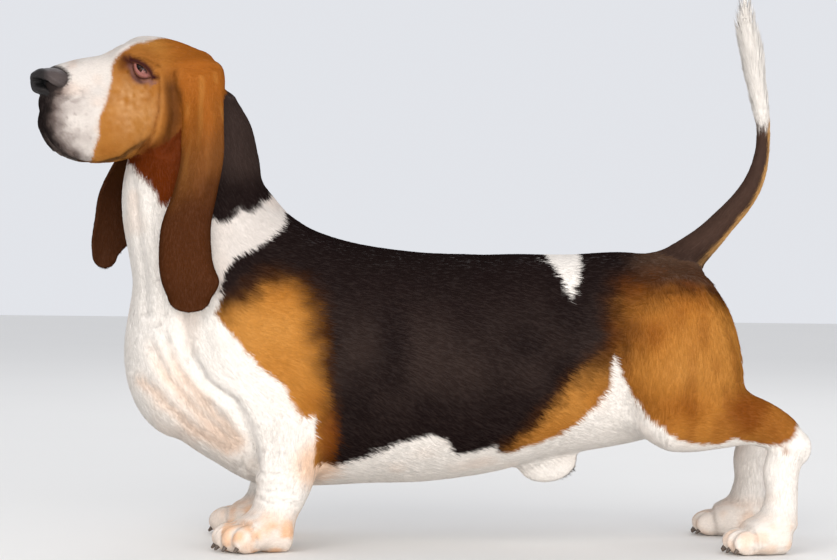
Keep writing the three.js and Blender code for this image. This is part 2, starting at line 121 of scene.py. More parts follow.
HIND_TOES = {"start": (347, -91), "reach": 18.5, "turn": 8, "spread": 15.5, "size": (18, 9.5, 13.5), "z": 13}
TOE_FAN = 17.0
SHORT_CLAW = [[-7, 8.5, 2.7], [-3.8, 6.2, 2.4], [-0.8, 3.2, 1.4]]  # distance past the toe's end, height, radius
SHOULDER = {"at": (-166, -66, 202), "radii": (60, 44, 94), "lean": 14}
ELBOW = {"at": (-114, -76, 126), "radii": (13, 15, 24), "lean": 10}
HOCK = {"at": (394, -77, 108), "radii": (12, 13, 17), "lean": 0}
SHEATH = {"at": (139, 0, 86), "radii": (33, 13, 23), "lean": 8}

# Head pieces in the head's frame: [forward, left, z, side radius, radius up, radius down].
SKULL = [
    [-4, 0, 469, 54, 45, 40], [20, 0, 469, 58, 54, 44], [45, 0, 469, 55, 59, 46],
    [66, 0, 469, 46, 57, 46], [86, 0, 469, 37, 43, 40],
]
BRIDGE = [
    [60, 0, 473, 36, 36, 40], [90, 0, 472, 31, 36, 38], [120, 0, 471, 29, 32, 36], [148, 0, 466, 27, 28, 30],
]
FLEW = [
    [56, 27, 441, 18, 22, 26], [80, 26, 438, 21, 32, 41], [105, 25, 438, 21, 34, 46],
    [128, 21, 441, 20, 32, 42], [146, 15, 450, 17, 26, 30],
]
JAW = [[0, 0, 429, 44, 30, 24], [45, 0, 423, 36, 26, 20], [90, 0, 420, 24, 22, 19], [128, 0, 424, 17, 18, 16]]
CHEEK = {"at": (44, 34, 450), "radii": (34, 22, 38)}
BROW = {"at": (68, 25, 504), "radii": (22, 15, 16)}
EAR_ROOT = {"at": (8, 45, 483), "radii": (21, 19, 21)}
PHILTRUM = {"at": (152.5, 0, 455), "radii": (14, 15, 19)}
NOSE = [
    [133, 0, 478, 21, 10, 11], [142, 0, 478, 26, 12.5, 17], [152, 0, 479, 27.5, 12.5, 21],
    [161, 0, 480, 23, 10.5, 16.5],
]
NOSE_CAPS = (4, 11)
NOSE_MIDDLE = np.array([146.0, 0.0, 477.0])
NOSTRIL = [(170, 10, 476), (165, 17, 475), (160, 22, 472.5), (155, 25, 469), (150.5, 27, 466)]
EYE_AT = (63.0, 35.5, 490.0)
EYE_RADIUS = 11.0
EYE_SLANT = math.radians(36.0)  # the eye's inner corner stands higher than its outer one
EYE_HALF_LENGTH = 13.0
EYE_OUT = (0.3, 0.95, 0.0)  # the way that the opening between the lids faces
EYE_GAZE = (0.62, 0.74, 0.22)
UPPER_LID = 4.0  # how far the opening reaches above and below the slit, and the haw's edge below it
LOWER_LID = 7.2
HAW_EDGE = 3.2
CORNEA = 0.9
LIP = [[60, 42, 416], [84, 34, 398], [108, 26, 393], [132, 15, 402], [152, 8, 424], [161, 0, 441]]

# Ears: hanging leaves [x, y, z, half width, half thickness, bow of the leaf].
LEFT_EAR = [
    [-232, -52, 491, 20, 4, 6], [-231, -68, 469, 22, 4, 10], [-228, -80, 435, 20, 3.6, 12],
    [-229, -84, 400, 21, 3.4, 11], [-236, -87, 365, 22, 3.4, 10], [-245, -92, 330, 25, 3.2, 9],
    [-245, -98, 295, 27, 3, 9], [-240, -103, 274, 29, 3, 9], [-241, -105, 257, 21, 2.9, 8],
]
RIGHT_EAR = [
    [-252, 54, 491, 20, 4, 6], [-257, 68, 469, 23, 4, 10], [-271, 78, 435, 26, 3.6, 12],
    [-290, 80, 400, 28, 3.4, 12], [-305, 76, 365, 30, 3.4, 11], [-313, 70, 335, 27, 3.2, 8],
    [-323, 66, 312, 20, 3, 6], [-329, 62, 297, 13, 2.8, 4],
]


def smooth_rows(rows, t):
    """Rows at the places t along a table: each column runs through its values as a Catmull-Rom curve."""
    rows = np.asarray(rows, float)
    i = np.clip(t.astype(int), 0, len(rows) - 2)
    f = (t - i)[:, None]
    a, b, c, d = (rows[np.clip(i + k, 0, len(rows) - 1)] for k in (-1, 0, 1, 2))
    return b + 0.5 * f * (c - a + f * (2 * a - 5 * b + 4 * c - d + f * (3 * (b - c) + d - a)))


def smoothstep(low, high, x):
    """0 below low, 1 above high, and 3t^2 - 2t^3 between."""
    t = np.clip((x - low) / (high - low), 0.0, 1.0)
    return t * t * (3.0 - 2.0 * t)


def bell(x, width):
    """1 where x is 0, and e to the -(x / width)^2 on both sides."""
    return np.exp(-((x / width) ** 2))


def unit(vectors, least=0.0):
    """Rows of vectors brought to length 1, apart from those shorter than the least."""
    return vectors / np.maximum(np.linalg.norm(vectors, axis=1, keepdims=True), least)


def blended(a, b, k):
    """The smaller of two distances, rounded off where they differ by less than k."""
    h = np.maximum(k - np.abs(a - b), 0.0)
    return np.minimum(a, b) - h * h / (4.0 * np.maximum(k, 1e-6))


def to_part(points):
    """Metres in the part's frame of points given in the dog's own."""
    return (np.asarray(points) + DOG_TO_PART) * MM


def to_dog(places):
    """Points of the dog's own frame, in millimetres, of places in the part's frame."""
    return np.asarray(places) / MM - DOG_TO_PART


def from_head(points):
    """Points [forward, left, z] of the head's frame in the dog's frame."""
    p = np.asarray(points, float)
    c, s = math.cos(HEAD_TURN), math.sin(HEAD_TURN)
    x = HEAD_PIVOT_X - p[..., 0] * c + p[..., 1] * s
    y = -p[..., 0] * s - p[..., 1] * c
    return np.stack([x, y, p[..., 2]], -1)


def to_head(points):
    """Points of the dog's frame as [forward, left, z] of the head's frame."""
    c, s = math.cos(HEAD_TURN), math.sin(HEAD_TURN)
    dx, dy = points[:, 0] - HEAD_PIVOT_X, points[:, 1]
    return np.stack([-dx * c - dy * s, dx * s - dy * c, points[:, 2]], -1)


def head_stations(stations, mirror=1):
    """A head's stations in the dog's frame, their left turned to the right where mirror is -1."""
    rows = np.asarray(stations, float)
    rows = rows * np.where(np.arange(rows.shape[1]) == 1, mirror, 1)
    return np.hstack([from_head(rows[:, :3]), rows[:, 3:]])


def folded(head_points):
    """Places of the head's frame with its right side laid onto the left."""
    return head_points * np.where(head_points < 0, (1, -1, 1), 1)


def eye_centre(mirror):
    """The eyeball's middle in the head's frame."""
    return np.array(EYE_AT) * (1, mirror, 1)


def on_side(stations, sign):
    """Stations given for the left side, as they are or mirrored to the right."""
    rows = np.asarray(stations, float)
    return rows * np.where(np.arange(rows.shape[1]) == 1, -sign, 1)


def framed(stations, samples, side):
    """A path's rows: its stations run through smoothly, the length of a step, and the ways along it,
    across it and up, of which across is as near to the side given as the path lets it be."""
    rows = smooth_rows(stations, np.linspace(0, len(stations) - 1, samples))
    step = np.gradient(rows[:, :3], axis=0)
    speed = np.linalg.norm(step, axis=1, keepdims=True)
    along = step / speed
    across = unit(side - along * (along @ side)[:, None])
    return np.hstack([rows, speed, along, across, np.cross(along, across)])


class Form:
    """A part of the flesh, worked out only for the points in its box."""

    def boxed(self, points, reach):
        self.low, self.high = points.min(0) - reach, points.max(0) + reach

    def near(self, points):
        return ((points > self.low) & (points < self.high)).all(1)


class Sweep(Form):
    """A body carried along a path, with oval sections |s|^n + |u|^n = 1 and a half-ellipsoid on each end.

    Its distance is k0 (k0 - 1) / k1, where k0 is 1 on the surface and k1 is the slope of k0 times k0.
    """

    SAMPLES = 160

    def __init__(self, stations, caps, blend, power=2.0, side=ACROSS, inset=COAT_DEPTH, region="body"):
        rows = framed(stations, self.SAMPLES, side)
        rows[:, 3:6] -= inset
        self.table = rows.astype(np.float32)
        self.caps = (caps[0] - inset, caps[1] - inset)
        self.blend, self.power, self.region = blend, power, region
        self.boxed(rows[:, :3], rows[:, 3:6].max() + max(self.caps) * 0.4 + 30)

    def at(self, s):
        """Rows of the table at places between its rows, in proportion."""
        i = np.clip(s.astype(int), 0, self.SAMPLES - 2)
        f = (s - i)[:, None]
        return self.table[i] * (1 - f) + self.table[i + 1] * f

    def local(self, points):
        """(place along the path, row of the table, distances along, across and up) of each point."""
        coarse = self.table[::8, :3]
        s = ((coarse**2).sum(1) - 2 * points @ coarse.T).argmin(1) * np.float32(8)
        for _ in range(3):
            row = self.at(s)
            a = ((points - row[:, :3]) * row[:, 7:10]).sum(1)
            s = np.clip(s + a / row[:, 6], 0, self.SAMPLES - 1)
        row = self.at(s)
        rel = points - row[:, :3]
        return s, row, (rel * row[:, 7:10]).sum(1), (rel * row[:, 10:13]).sum(1), (rel * row[:, 13:16]).sum(1)

    def distance(self, points):
        s, row, a, side, up = self.local(points)
        cap = np.where(s < self.SAMPLES / 2, *self.caps)
        ends = (s <= 0) | (s >= self.SAMPLES - 1)
        width = row[:, 3]
        height = np.where(up > 0, row[:, 4], row[:, 5])
        x, y, z = np.abs(side) / width, np.abs(up) / height, np.where(ends, np.abs(a), 0) / cap
        ring = (x**self.power + y**self.power) ** (1 / self.power)
        k0 = np.sqrt(ring * ring + z * z)
        k1 = np.sqrt((x / width) ** 2 + (y / height) ** 2 + (z / cap) ** 2)
        return k0 * (k0 - 1) / np.maximum(k1, 1e-5)

    def chart(self, points):
        """Place along the path and angle round it, both from 0 to 1."""
        s, row, _, side, up = self.local(points)
        return s / (self.SAMPLES - 1), np.arctan2(up, side) / (2 * math.pi) + 0.5

    def lie(self, points):
        """The way along the path, which the hair follows."""
        return self.at(self.local(points)[0])[:, 7:10]


class Ball(Form):
    """An ellipsoid, turned by a matrix; the same measure of distance as a sweep's."""

    def __init__(self, at, radii, blend, turn=None, inset=COAT_DEPTH, region="body"):
        self.at, self.blend, self.region = np.asarray(at, float), blend, region
        self.radii = np.asarray(radii, float) - inset
        self.turn = np.eye(3) if turn is None else turn
        self.boxed(self.at[None], self.radii.max() + 30)

    def distance(self, points):
        q = (points - self.at) @ self.turn / self.radii
        k0 = np.sqrt((q * q).sum(1))
        k1 = np.sqrt(((q / self.radii) ** 2).sum(1))
        return k0 * (k0 - 1) / np.maximum(k1, 1e-5)

    def chart(self, points):
        q = (points - self.at) @ self.turn / self.radii
        return np.clip(q[:, 2] * 0.4 + 0.5, 0, 1), np.arctan2(q[:, 1], q[:, 0]) / (2 * math.pi) + 0.5

    def lie(self, points):
        return np.zeros((len(points), 3))


class Leaf(Form):
    """A hanging ear: a sheet of even thickness with a round edge, its middle line running down a table.

    Across it, from -1 at the front edge to 1 at the rear, the sheet bows to the head by bow s^2, its
    front edge curls in further, and shallow folds run down it. Its distance is that of the outline and
    of the sheet's middle taken together, less the half thickness.
    """

    def __init__(self, stations, sign, curl, region):
        self.rows = smooth_rows(stations, np.linspace(0, len(stations) - 1, PATH_ROWS))[::-1]
        self.sign, self.curl, self.region, self.blend = sign, curl, region, 1.5
        self.boxed(self.rows[:, :3], np.array([55, 40, 35]))

    def across(self, x, z):
        """(s, height past the ends, way down the ear from 0 to 1, half width, half thickness, middle's y)."""
        heights = self.rows[:, 2]
        x0, y0, wide, thick, bow = (np.interp(z, heights, self.rows[:, k]) for k in (0, 1, 3, 4, 5))
        over = np.maximum(z - heights[-1], 0) / 8 + np.maximum(heights[0] - z, 0) / 13
        s = (x - x0) / wide
        down = (heights[-1] - z) / (heights[-1] - heights[0])
        upper = smoothstep(0.02, 0.2, down) * (1 - smoothstep(0.45, 0.75, down))
        front = np.maximum(-s - 0.1, 0)
        bend = bow * np.minimum(s * s, 1.6) + self.curl * upper * np.minimum(front**2, 1.3)
        folds = np.sin(s * 4.6 + 2.0 * down) * (2.2 * upper) + np.sin(s * 3.1 - 3 * down + 1) * 1.1
        middle = y0 - self.sign * (bend - folds * np.clip(1 - s * s, 0, 1))
        return s, over, down, wide, thick - 0.3, middle

    def local(self, points):
        """As across, with the distance from the middle line: the offset in y over its slant."""
        s, over, down, wide, thick, middle = self.across(points[:, 0], points[:, 2])
        tilt_x = self.across(points[:, 0] + 1, points[:, 2])[5] - middle
        tilt_z = self.across(points[:, 0], points[:, 2] + 1)[5] - middle
        off = (points[:, 1] - middle) / np.sqrt(1 + tilt_x**2 + tilt_z**2)
        return s, over, down, wide, thick, off

    def distance(self, points):
        s, over, _, wide, thick, off = self.local(points)
        k0 = np.sqrt(s * s + over * over)
        k1 = np.sqrt((s / wide) ** 2 + (over / 13) ** 2)
        outline = k0 * (k0 - 1) / np.maximum(k1, 1e-5)
        return np.hypot(np.maximum(outline + thick, 0), off) - thick

    def chart(self, points):
        s, _, down, _, _, off = self.local(points)
        return np.clip(down, 0, 1), np.clip(np.where(off * self.sign > 0, 0.25, 0.75) + 0.2 * s, 0, 1)

    def lie(self, points):
        """Down the ear and a little back."""
        return np.tile([0.05, 0.0, -1.0], (len(points), 1))


class Group(Form):
    """Bodies joined with each other first, and then with what comes before them."""

    def __init__(self, forms, blend):
        self.forms, self.blend = forms, blend
        self.low = np.min([form.low for form in forms], 0)
        self.high = np.max([form.high for form in forms], 0)

    def distance(self, points):
        total = np.full(len(points), FAR)
        for form in self.forms:
            near = form.near(points)
            if near.any():
                total[near] = blended(total[near], form.distance(points[near]), form.blend)
        return total

    def leaves(self):
        """All the bodies in the group and in the groups inside it."""
        return [leaf for form in self.forms for leaf in (form.leaves() if isinstance(form, Group) else [form])]


def turned(axis, degrees):
    """Rotation matrix whose columns are a body's own axes."""
    return np.array(Matrix.Rotation(math.radians(degrees), 3, axis))


def leaned(part, sign, blend, region):
    """An oval of one side, turned about Y by its own angle."""
    x, y, z = part["at"]
    return Ball((x, y * -sign, z), part["radii"], blend, turned("Y", -part["lean"]), region=region)


def head_ball(part, mirror, blend):
    """An oval of the head, turned with it."""
    forward, left, z = part["at"]
    turn = turned("Z", math.degrees(HEAD_TURN))
    return Ball(from_head((forward, left * mirror, z)), part["radii"], blend, turn, region="head")


def head_sweep(stations, mirror, caps, blend, power=2.0):
    """A body of the head carried along its path."""
    return Sweep(head_stations(stations, mirror), caps, blend, power, HEAD_SIDE, region="head")


def toe_places(toes, sign):
    """Where a paw's four toes lie, and the way that each points, seen from above."""
    turn = math.radians(toes["turn"])
    for place in (-1, -0.33, 0.33, 1):
        angle = turn + math.radians(place * TOE_FAN)
        forward = toes["reach"] * (1 - 0.2 * place * place)
        x = toes["start"][0] - math.cos(turn) * forward + math.sin(turn) * place * toes["spread"]
        y = toes["start"][1] - math.sin(turn) * forward - math.cos(turn) * place * toes["spread"]
        yield (x, -sign * y, toes["z"]), -sign * angle


def paw_group(stations, toes, sign, caps, region):
    """A paw: its pad as a swept body, joined with an oval for each of the four toes."""
    forms = [Sweep(on_side(stations, sign), caps, 5, 2.4, inset=1.0, region=region)]
    for at, angle in toe_places(toes, sign):
        forms.append(Ball(at, toes["size"], 3.5, turned("Z", math.degrees(angle)), 0.8, region))
    return Group(forms, 8)


def leg_groups(sign):
    """The four limbs of one side: sign -1 is the left."""
    side = "left" if sign < 0 else "right"
    fore, hind = f"{side}_fore", f"{side}_hind"
    foreleg = Group([
        Sweep(on_side(FORELEG, sign), (20, 16), 8, inset=1.5, region=fore),
        leaned(ELBOW, sign, 9, fore),
        paw_group(FORE_PAW, FORE_TOES, sign, (14, 10), fore),
    ], 16)
    hindleg = Group([
        Sweep(on_side(THIGH, sign), (20, 24), 14, region=f"{side}_thigh"),
        Sweep(on_side(SHANK, sign), (24, 14), 14, inset=1.5, region=hind),
        Sweep(on_side(PASTERN, sign), (12, 10), 8, inset=1.5, region=hind),
        leaned(HOCK, sign, 7, hind),
        paw_group(HIND_PAW, HIND_TOES, sign, (14, 8), hind),
    ], 28)
    return [leaned(SHOULDER, sign, 18, "trunk"), foreleg, hindleg]


def head_group():
    """The head: skull, bridge, jaw and lip's middle, and on each side flew, cheek, brow and ear's root."""
    forms = [
        head_sweep(SKULL, 1, (22, 14), 6),
        head_sweep(BRIDGE, 1, (20, 14), 12, 2.3),
        head_sweep(JAW, 1, (16, 14), 8),
        head_ball(PHILTRUM, 1, 6),
    ]
    for mirror in (1, -1):
        forms += [
            head_sweep(FLEW, mirror, (16, 14), 9),
            head_ball(CHEEK, mirror, 16),
            head_ball(BROW, mirror, 12),
            head_ball(EAR_ROOT, mirror, 18),
        ]
    return Group(forms, 10)


TAIL_FORM = Sweep(TAIL, (20, 14), 14, inset=2.2, region="tail")
body = Group([
    Sweep(TRUNK, (70, 38), 10, 2.15, region="trunk"),
    Sweep(NECK, (40, 20), 14, region="neck"),
    TAIL_FORM,
    leaned(SHEATH, -1, 10, "trunk"),
    *leg_groups(-1),
    *leg_groups(1),
    head_group(),
], 0)
ears = {
    "left_ear": Leaf(LEFT_EAR, -1, 16, "left_ear"),
    "right_ear": Leaf(RIGHT_EAR, 1, 10, "right_ear"),
}
leaves = body.leaves() + list(ears.values())
LIDS = [Ball(from_head(eye_centre(mirror)), (EYE_RADIUS + 2.0,) * 3, 5, inset=0) for mirror in (1, -1)]
NOSE_FORM = Sweep(head_stations(NOSE), NOSE_CAPS, 1, 2.3, HEAD_SIDE, inset=0)


def flesh(points):
    """Signed distance of the whole skin: body, ear leaves joined softly at their roots, and lids."""
    points = np.asarray(points, np.float32)
    total = body.distance(points)
    for lid in LIDS:
        near = lid.near(points)
        total[near] = blended(total[near], lid.distance(points[near]), lid.blend)
    for ear in ears.values():
        near = ear.near(points)
        soft = 1.0 + 15.0 * smoothstep(440, 474, points[near, 2])
        total[near] = blended(total[near], ear.distance(points[near]), soft)
    return total


def slope(points, step=0.4):
    """Gradient of the flesh's distance, by differences."""
    base = flesh(points)
    return base, np.stack([flesh(points + step * axis) - base for axis in np.eye(3)], 1) / step


def spread(stops):
    """Coordinates from (place, step) stops, each step holding up to the next place."""
    parts = [np.arange(a, b, step) for (a, step), (b, _) in zip(stops, stops[1:])]
    return np.concatenate(parts + [[stops[-1][0]]])


def field_on(axes, coarse=4):
    """The flesh's distance on a grid, worked out finely only near the surface."""
    rough_axes = [np.append(axis[:-1:coarse], axis[-1]) for axis in axes]
    rough = np.stack(np.meshgrid(*rough_axes, indexing="ij"), -1)
    values = flesh(rough.reshape(-1, 3)).reshape(rough.shape[:3])
    span = math.sqrt(sum(np.diff(axis).max() ** 2 for axis in rough_axes))
    places = [np.searchsorted(r, a, side="right").clip(1, len(r) - 1) - 1 for r, a in zip(rough_axes, axes)]
    grid = np.ix_(*places)
    near = np.abs(values) < span * 0.8
    for k in range(3):
        low, high = np.roll(near, 1, k), np.roll(near, -1, k)
        near = near | low | high
    full = values[grid].astype(np.float32)
    band = near[grid]
    at = np.stack([axis[i] for axis, i in zip(axes, np.nonzero(band))], -1)
    full[band] = np.concatenate([flesh(part) for part in np.array_split(at, max(1, len(at) // GRID_BATCH))])
    return full


def net(axes, values):
    """Closed quads round a grid's zero level: one vertex for each cell that it crosses, at the mean of
    the crossings on the cell's edges, and one quad for each crossed edge, turned to face outwards."""
    shape = np.array(values.shape)
    cells = shape - 1
    flat = int(cells.prod())
    count = np.zeros(flat)
    total = np.zeros((3, flat))
    rings = []
    for k in range(3):
        u, v = (k + 1) % 3, (k + 2) % 3
        low = np.take(values, range(shape[k] - 1), k)
        high = np.take(values, range(1, shape[k]), k)
        at = np.argwhere((low < 0) != (high < 0))
        at = at[(at[:, u] > 0) & (at[:, u] < cells[u]) & (at[:, v] > 0) & (at[:, v] < cells[v])]
        first, second = low[tuple(at.T)], high[tuple(at.T)]
        place = np.stack([axes[i][at[:, i]] for i in range(3)], -1)
        place[:, k] += first / (first - second) * (axes[k][at[:, k] + 1] - axes[k][at[:, k]])
        corners = []
        for du, dv in ((0, 0), (-1, 0), (-1, -1), (0, -1)):
            cell = at.copy()
            cell[:, u] += du
            cell[:, v] += dv
            index = np.ravel_multi_index(tuple(cell.T), tuple(cells))
            corners.append(index)
            count += np.bincount(index, minlength=flat)
            for i in range(3):
                total[i] += np.bincount(index, place[:, i], minlength=flat)
        ring = np.stack(corners, 1)
        rings.append(np.where((first < 0)[:, None], ring, ring[:, ::-1]))
    used = count > 0
    number = np.cumsum(used) - 1
    points = (total[:, used] / count[used]).T
    return points, number[np.concatenate(rings)]


def settled(points, edges, pull=0.5, rounds=2):
    """Points moved towards the mean of their neighbours, then back onto the flesh's surface."""
    a, b = edges.T
    degree = np.bincount(a, minlength=len(points)) + np.bincount(b, minlength=len(points))
    for _ in range(rounds):
        mean = np.stack([
            np.bincount(a, points[b, i], len(points)) + np.bincount(b, points[a, i], len(points)) for i in range(3)
        ], 1) / degree[:, None]
        points = on_surface(points + pull * (mean - points), 1)
    return on_surface(points, 2)


def on_surface(points, rounds):
    """Points moved against the gradient by the distance over its square, up to 2 mm on each axis a round."""
    for _ in range(rounds):
        base, grad = slope(points)
        shift = (base / np.maximum((grad**2).sum(1), 0.2))[:, None] * grad
        points = points - np.clip(shift, -2, 2)
    return points


def mesh_edges(faces):
    """The quads' edges, each once, as pairs of points."""
    ring = np.concatenate([faces[:, [0, 1]], faces[:, [1, 2]], faces[:, [2, 3]], faces[:, [3, 0]]])
    return np.unique(np.sort(ring, 1), axis=0)


def skin_net():
    """The bare skin as (points, quads)."""
    axes = [spread(stops) for stops in (GRID_X, GRID_Y, GRID_Z)]
    points, quads = net(axes, field_on(axes))
    return settled(points, mesh_edges(quads)), quads


def srgb(red, green, blue):
    """A colour given as the eye reads it, from 0 to 255, in linear light."""
    c = np.array([red, green, blue]) / 255
    return np.where(c < 0.04045, c / 12.92, ((c + 0.055) / 1.055) ** 2.4)


def opaque(red, green, blue):
    """The same colour as a shader's socket takes it."""
    return (*srgb(red, green, blue), 1)


# Colours of the coat and of what shows bare.
WHITE = srgb(238, 231, 223)
WARM_WHITE = srgb(236, 212, 194)
PEACH = srgb(232, 184, 144)
GREY_TICK = srgb(160, 146, 140)
TAN = srgb(166, 100, 29)
TAN_DARK = srgb(118, 62, 18)
TAN_EDGE = srgb(54, 29, 12)
TAN_LIGHT = srgb(192, 136, 68)
FACE_TAN = srgb(160, 101, 42)
FACE_FROST = srgb(206, 162, 114)
FACE_SHADE = srgb(64, 36, 22)
BLACK = srgb(28, 20, 19)
# The neck's black, lighter with painted sheen.
NECK_BLACK = srgb(58, 46, 42)
EAR_TOP = srgb(156, 90, 32)
EAR_MIDDLE = srgb(122, 74, 36)
EAR_LOW = srgb(76, 41, 20)
# The ear's inside, darker with painted shade.
EAR_INSIDE = srgb(66, 38, 22)
THROAT_RED = srgb(98, 42, 12)
LEATHER = srgb(36, 30, 29)
LID_DARK = srgb(50, 18, 20)
HAW_PINK = srgb(152, 98, 90)
LID_MAUVE = srgb(122, 88, 88)
TAIL_DARK = srgb(72, 54, 46)
RUMP_BROWN = srgb(84, 62, 48)
SIDE_SHEEN = srgb(50, 39, 35)
GOLD = srgb(206, 156, 96)

# Outlines of the markings in side view, [x, z]; both sides carry them, a little differently.
SADDLE = [
    (-120, 430), (-144, 345), (-148, 330), (-164, 317), (-179, 307), (-194, 300), (-204, 287), (-212, 262),
    (-199, 264), (-188, 274), (-172, 287), (-149, 290), (-129, 285), (-114, 272), (-104, 252), (-99, 228),
    (-97, 200), (-97, 177), (-95, 160), (-93, 140), (-91, 118), (-91, 91), (-84, 91), (-64, 96), (-44, 103),
    (-24, 114), (-4, 120), (11, 123), (22, 116), (30, 103), (39, 100), (59, 104), (82, 111), (100, 127),
    (120, 149), (140, 175), (164, 201), (182, 214), (182, 236), (184, 260), (195, 279), (226, 288), (270, 288),
    (345, 268), (350, 430),
]
SHOULDER_TAN = [
    (-216, 243), (-209, 234), (-201, 224), (-189, 214), (-182, 204), (-172, 192), (-158, 182), (-146, 172),
    (-139, 156), (-132, 144), (-122, 138), (-110, 144), (-100, 157), (-90, 170), (-88, 262), (-110, 300),
    (-145, 306), (-175, 298), (-195, 280), (-210, 258),
]
ELBOW_TAN = [(-114, 170), (-94, 172), (-84, 160), (-80, 140), (-80, 110), (-86, 86), (-112, 90)]
THIGH_TAN = [
    (172, 230), (186, 215), (197, 203), (203, 188), (209, 174), (219, 158), (228, 143), (242, 130), (263, 117),
    (274, 114), (306, 115), (332, 118), (345, 115), (366, 113), (377, 118), (385, 128), (394, 150), (372, 180),
    (350, 300), (310, 300), (226, 300), (187, 290), (174, 262),
]
FLANK_TAN = [
    (78, 103), (86, 101), (114, 109), (146, 123), (160, 132), (169.5, 141), (178.5, 151), (187, 160), (191, 170),
    (193, 179), (194, 188), (196, 198), (197, 225), (150, 225), (120, 180), (90, 140), (70, 112),
]
LOIN_WHITE = [(124, 330), (128, 303), (137, 289), (145, 276), (151, 262), (158, 275), (163, 296), (164, 330)]
NAPE_BLACK = [
    (-140, 380), (-166, 358), (-174, 348), (-189, 347), (-200, 339), (-210, 337), (-218, 342), (-230, 352),
    (-238, 400), (-242, 440), (-225, 520), (-140, 500),
]
THROAT_PATCH = [
    (-312, 408), (-297, 390), (-287, 379), (-273, 357), (-266, 352), (-250, 366), (-236, 400), (-236, 450),
    (-320, 450),
]
# Middles of spots of colour in side view: on body and limbs [x, z], and on the head [forward, z].
ELBOW_SHADE = (-98, 118)
ELBOW_PEACH = (-112, 90)
LOW_THIGH = (334, 146)
HOCK_TAN = (375, 108)
# Middles of painted shade at the eye's inner corner and round the eye.
EYE_CORNER = (80, 497)
EYE_HOLLOW = (70, 498)
CHEEK_FROST = (76, 454)
BROW_LIGHT = (68, 516)
# The white of the face in the head's side view, [forward, z]: a muzzle and a blaze that ends on the brow.
FACE_WHITE = [
    (28, 560), (38, 526), (53, 521), (64, 518), (76, 514), (86, 507), (91, 500), (95, 494), (94, 479), (99, 463),
    (105, 448), (109, 438), (110, 422), (114, 407), (117, 380), (220, 380), (220, 560),
]
# The dark front of the muzzle, from under the nose to the lips' edge, [forward, z]: lip leather, and painted shade
# under the nose.
LIP_LEATHER_AND_SHADE = [
    (147, 466), (153.5, 455), (155, 442), (153, 428), (147.5, 417), (139.5, 406), (128, 399), (122, 380),
    (190, 380), (190, 466),
]
# Creases of the skin on each side, [x, z]; then how deep and how wide each is.
FOLDS = [
    ([(-304, 388), (-299, 360), (-294, 325), (-287, 285), (-284, 240)], 1.4, 4.0),
    ([(-280, 350), (-278, 320), (-270, 280), (-264, 240)], 0.9, 5.0),
    ([(-250, 250), (-244, 222), (-239, 201), (-224, 173), (-208, 160), (-196, 151), (-187, 135), (-181, 123),
      (-174, 103), (-171, 84)], 4.2, 5.5),
    ([(-264, 214), (-251, 184), (-228, 156), (-205, 134), (-187, 113)], 1.7, 5.0),
    ([(-279, 208), (-264, 178), (-243, 153), (-217, 128), (-191, 105)], 1.9, 5.5),
    ([(-289, 172), (-263, 147), (-232, 121), (-201, 101)], 1.3, 5.5),
    ([(-215, 250), (-200, 215), (-180, 182), (-160, 152)], 0.8, 7.0),
    ([(-174, 88), (-160, 81), (-146, 83), (-128, 79)], 0.9, 2.8),
    ([(-176, 72), (-164, 65), (-148, 66), (-130, 60)], 1.2, 2.6),
    ([(-170, 59), (-156, 52), (-142, 54), (-128, 49)], 0.9, 2.4),
    ([(206, 150), (216, 185), (222, 215)], 1.4, 9.0),
]
# Creases of the head on each side, [forward, left, z].
HEAD_FOLDS = [
    ([(50.5, 51, 484), (49, 55, 471), (50, 56, 459), (50.3, 55, 447), (54, 48.6, 425),
      (59, 40, 415), (65, 28, 406)], 1.9, 2.4),
    ([(38, 52, 484), (36, 57, 466), (34, 56, 453), (33, 52, 439), (35, 48, 423), (38, 40, 412)], 4.5, 6.5),
    ([(74, 38, 503), (66, 42, 505), (56, 45, 501), (48, 47, 493)], 1.2, 2.2),
    ([(80, 37, 486), (72, 43, 478), (60, 47, 470), (50, 49, 468)], 0.9, 2.6),
    ([(30, 28, 517), (45, 33, 516), (58, 34, 513)], 0.8, 3.5),
]


def hashed(cells, salt):
    """A number from 0 to 1 for each whole-numbered cell."""
    h = (cells[..., 0] * 374761393 + cells[..., 1] * 668265263 + cells[..., 2] * 2147483647 + salt * 974634777)
    h = (h ^ (h >> 13)) * 1274126177
    return ((h ^ (h >> 16)) & 0xFFFFFF) / 0xFFFFFF


def noise(points, size, salt=0):
    """Smooth noise from -1 to 1 with features of that size: corner values of a lattice, eased between."""
    q = points / size
    base = np.floor(q).astype(np.int64)
    f = q - base
    f = f * f * (3 - 2 * f)
    total = 0
    for i in (0, 1):
        for j in (0, 1):
            for k in (0, 1):
                near = np.where((i, j, k), f, 1 - f)
                total = total + near[:, 0] * near[:, 1] * near[:, 2] * hashed(base + (i, j, k), salt)
    return total * 2 - 1


def line_distance(points, line, closed=False):
    """Distance from each point to a line of straight stretches, in as many dimensions as it has."""
    line = np.asarray(line, float)
    start, end = (line, np.roll(line, -1, 0)) if closed else (line[:-1], line[1:])
    best = np.full(len(points), np.inf)
    for a, b in zip(start, end):
        along = b - a
        t = np.clip((points - a) @ along / (along @ along), 0, 1)
        best = np.minimum(best, ((points - a - t[:, None] * along) ** 2).sum(1))
    return np.sqrt(best)


def inside_by(points, loop):
    """How far inside a closed outline each point lies, below zero outside it."""
    loop = np.asarray(loop, float)
    inside = np.zeros(len(points), bool)
    for (x0, y0), (x1, y1) in zip(loop, np.roll(loop, -1, 0)):
        if y0 != y1:
            crosses = (y0 > points[:, 1]) != (y1 > points[:, 1])
            inside ^= crosses & (points[:, 0] < (x1 - x0) * (points[:, 1] - y0) / (y1 - y0) + x0)
    return line_distance(points, loop, True) * np.where(inside, 1, -1)


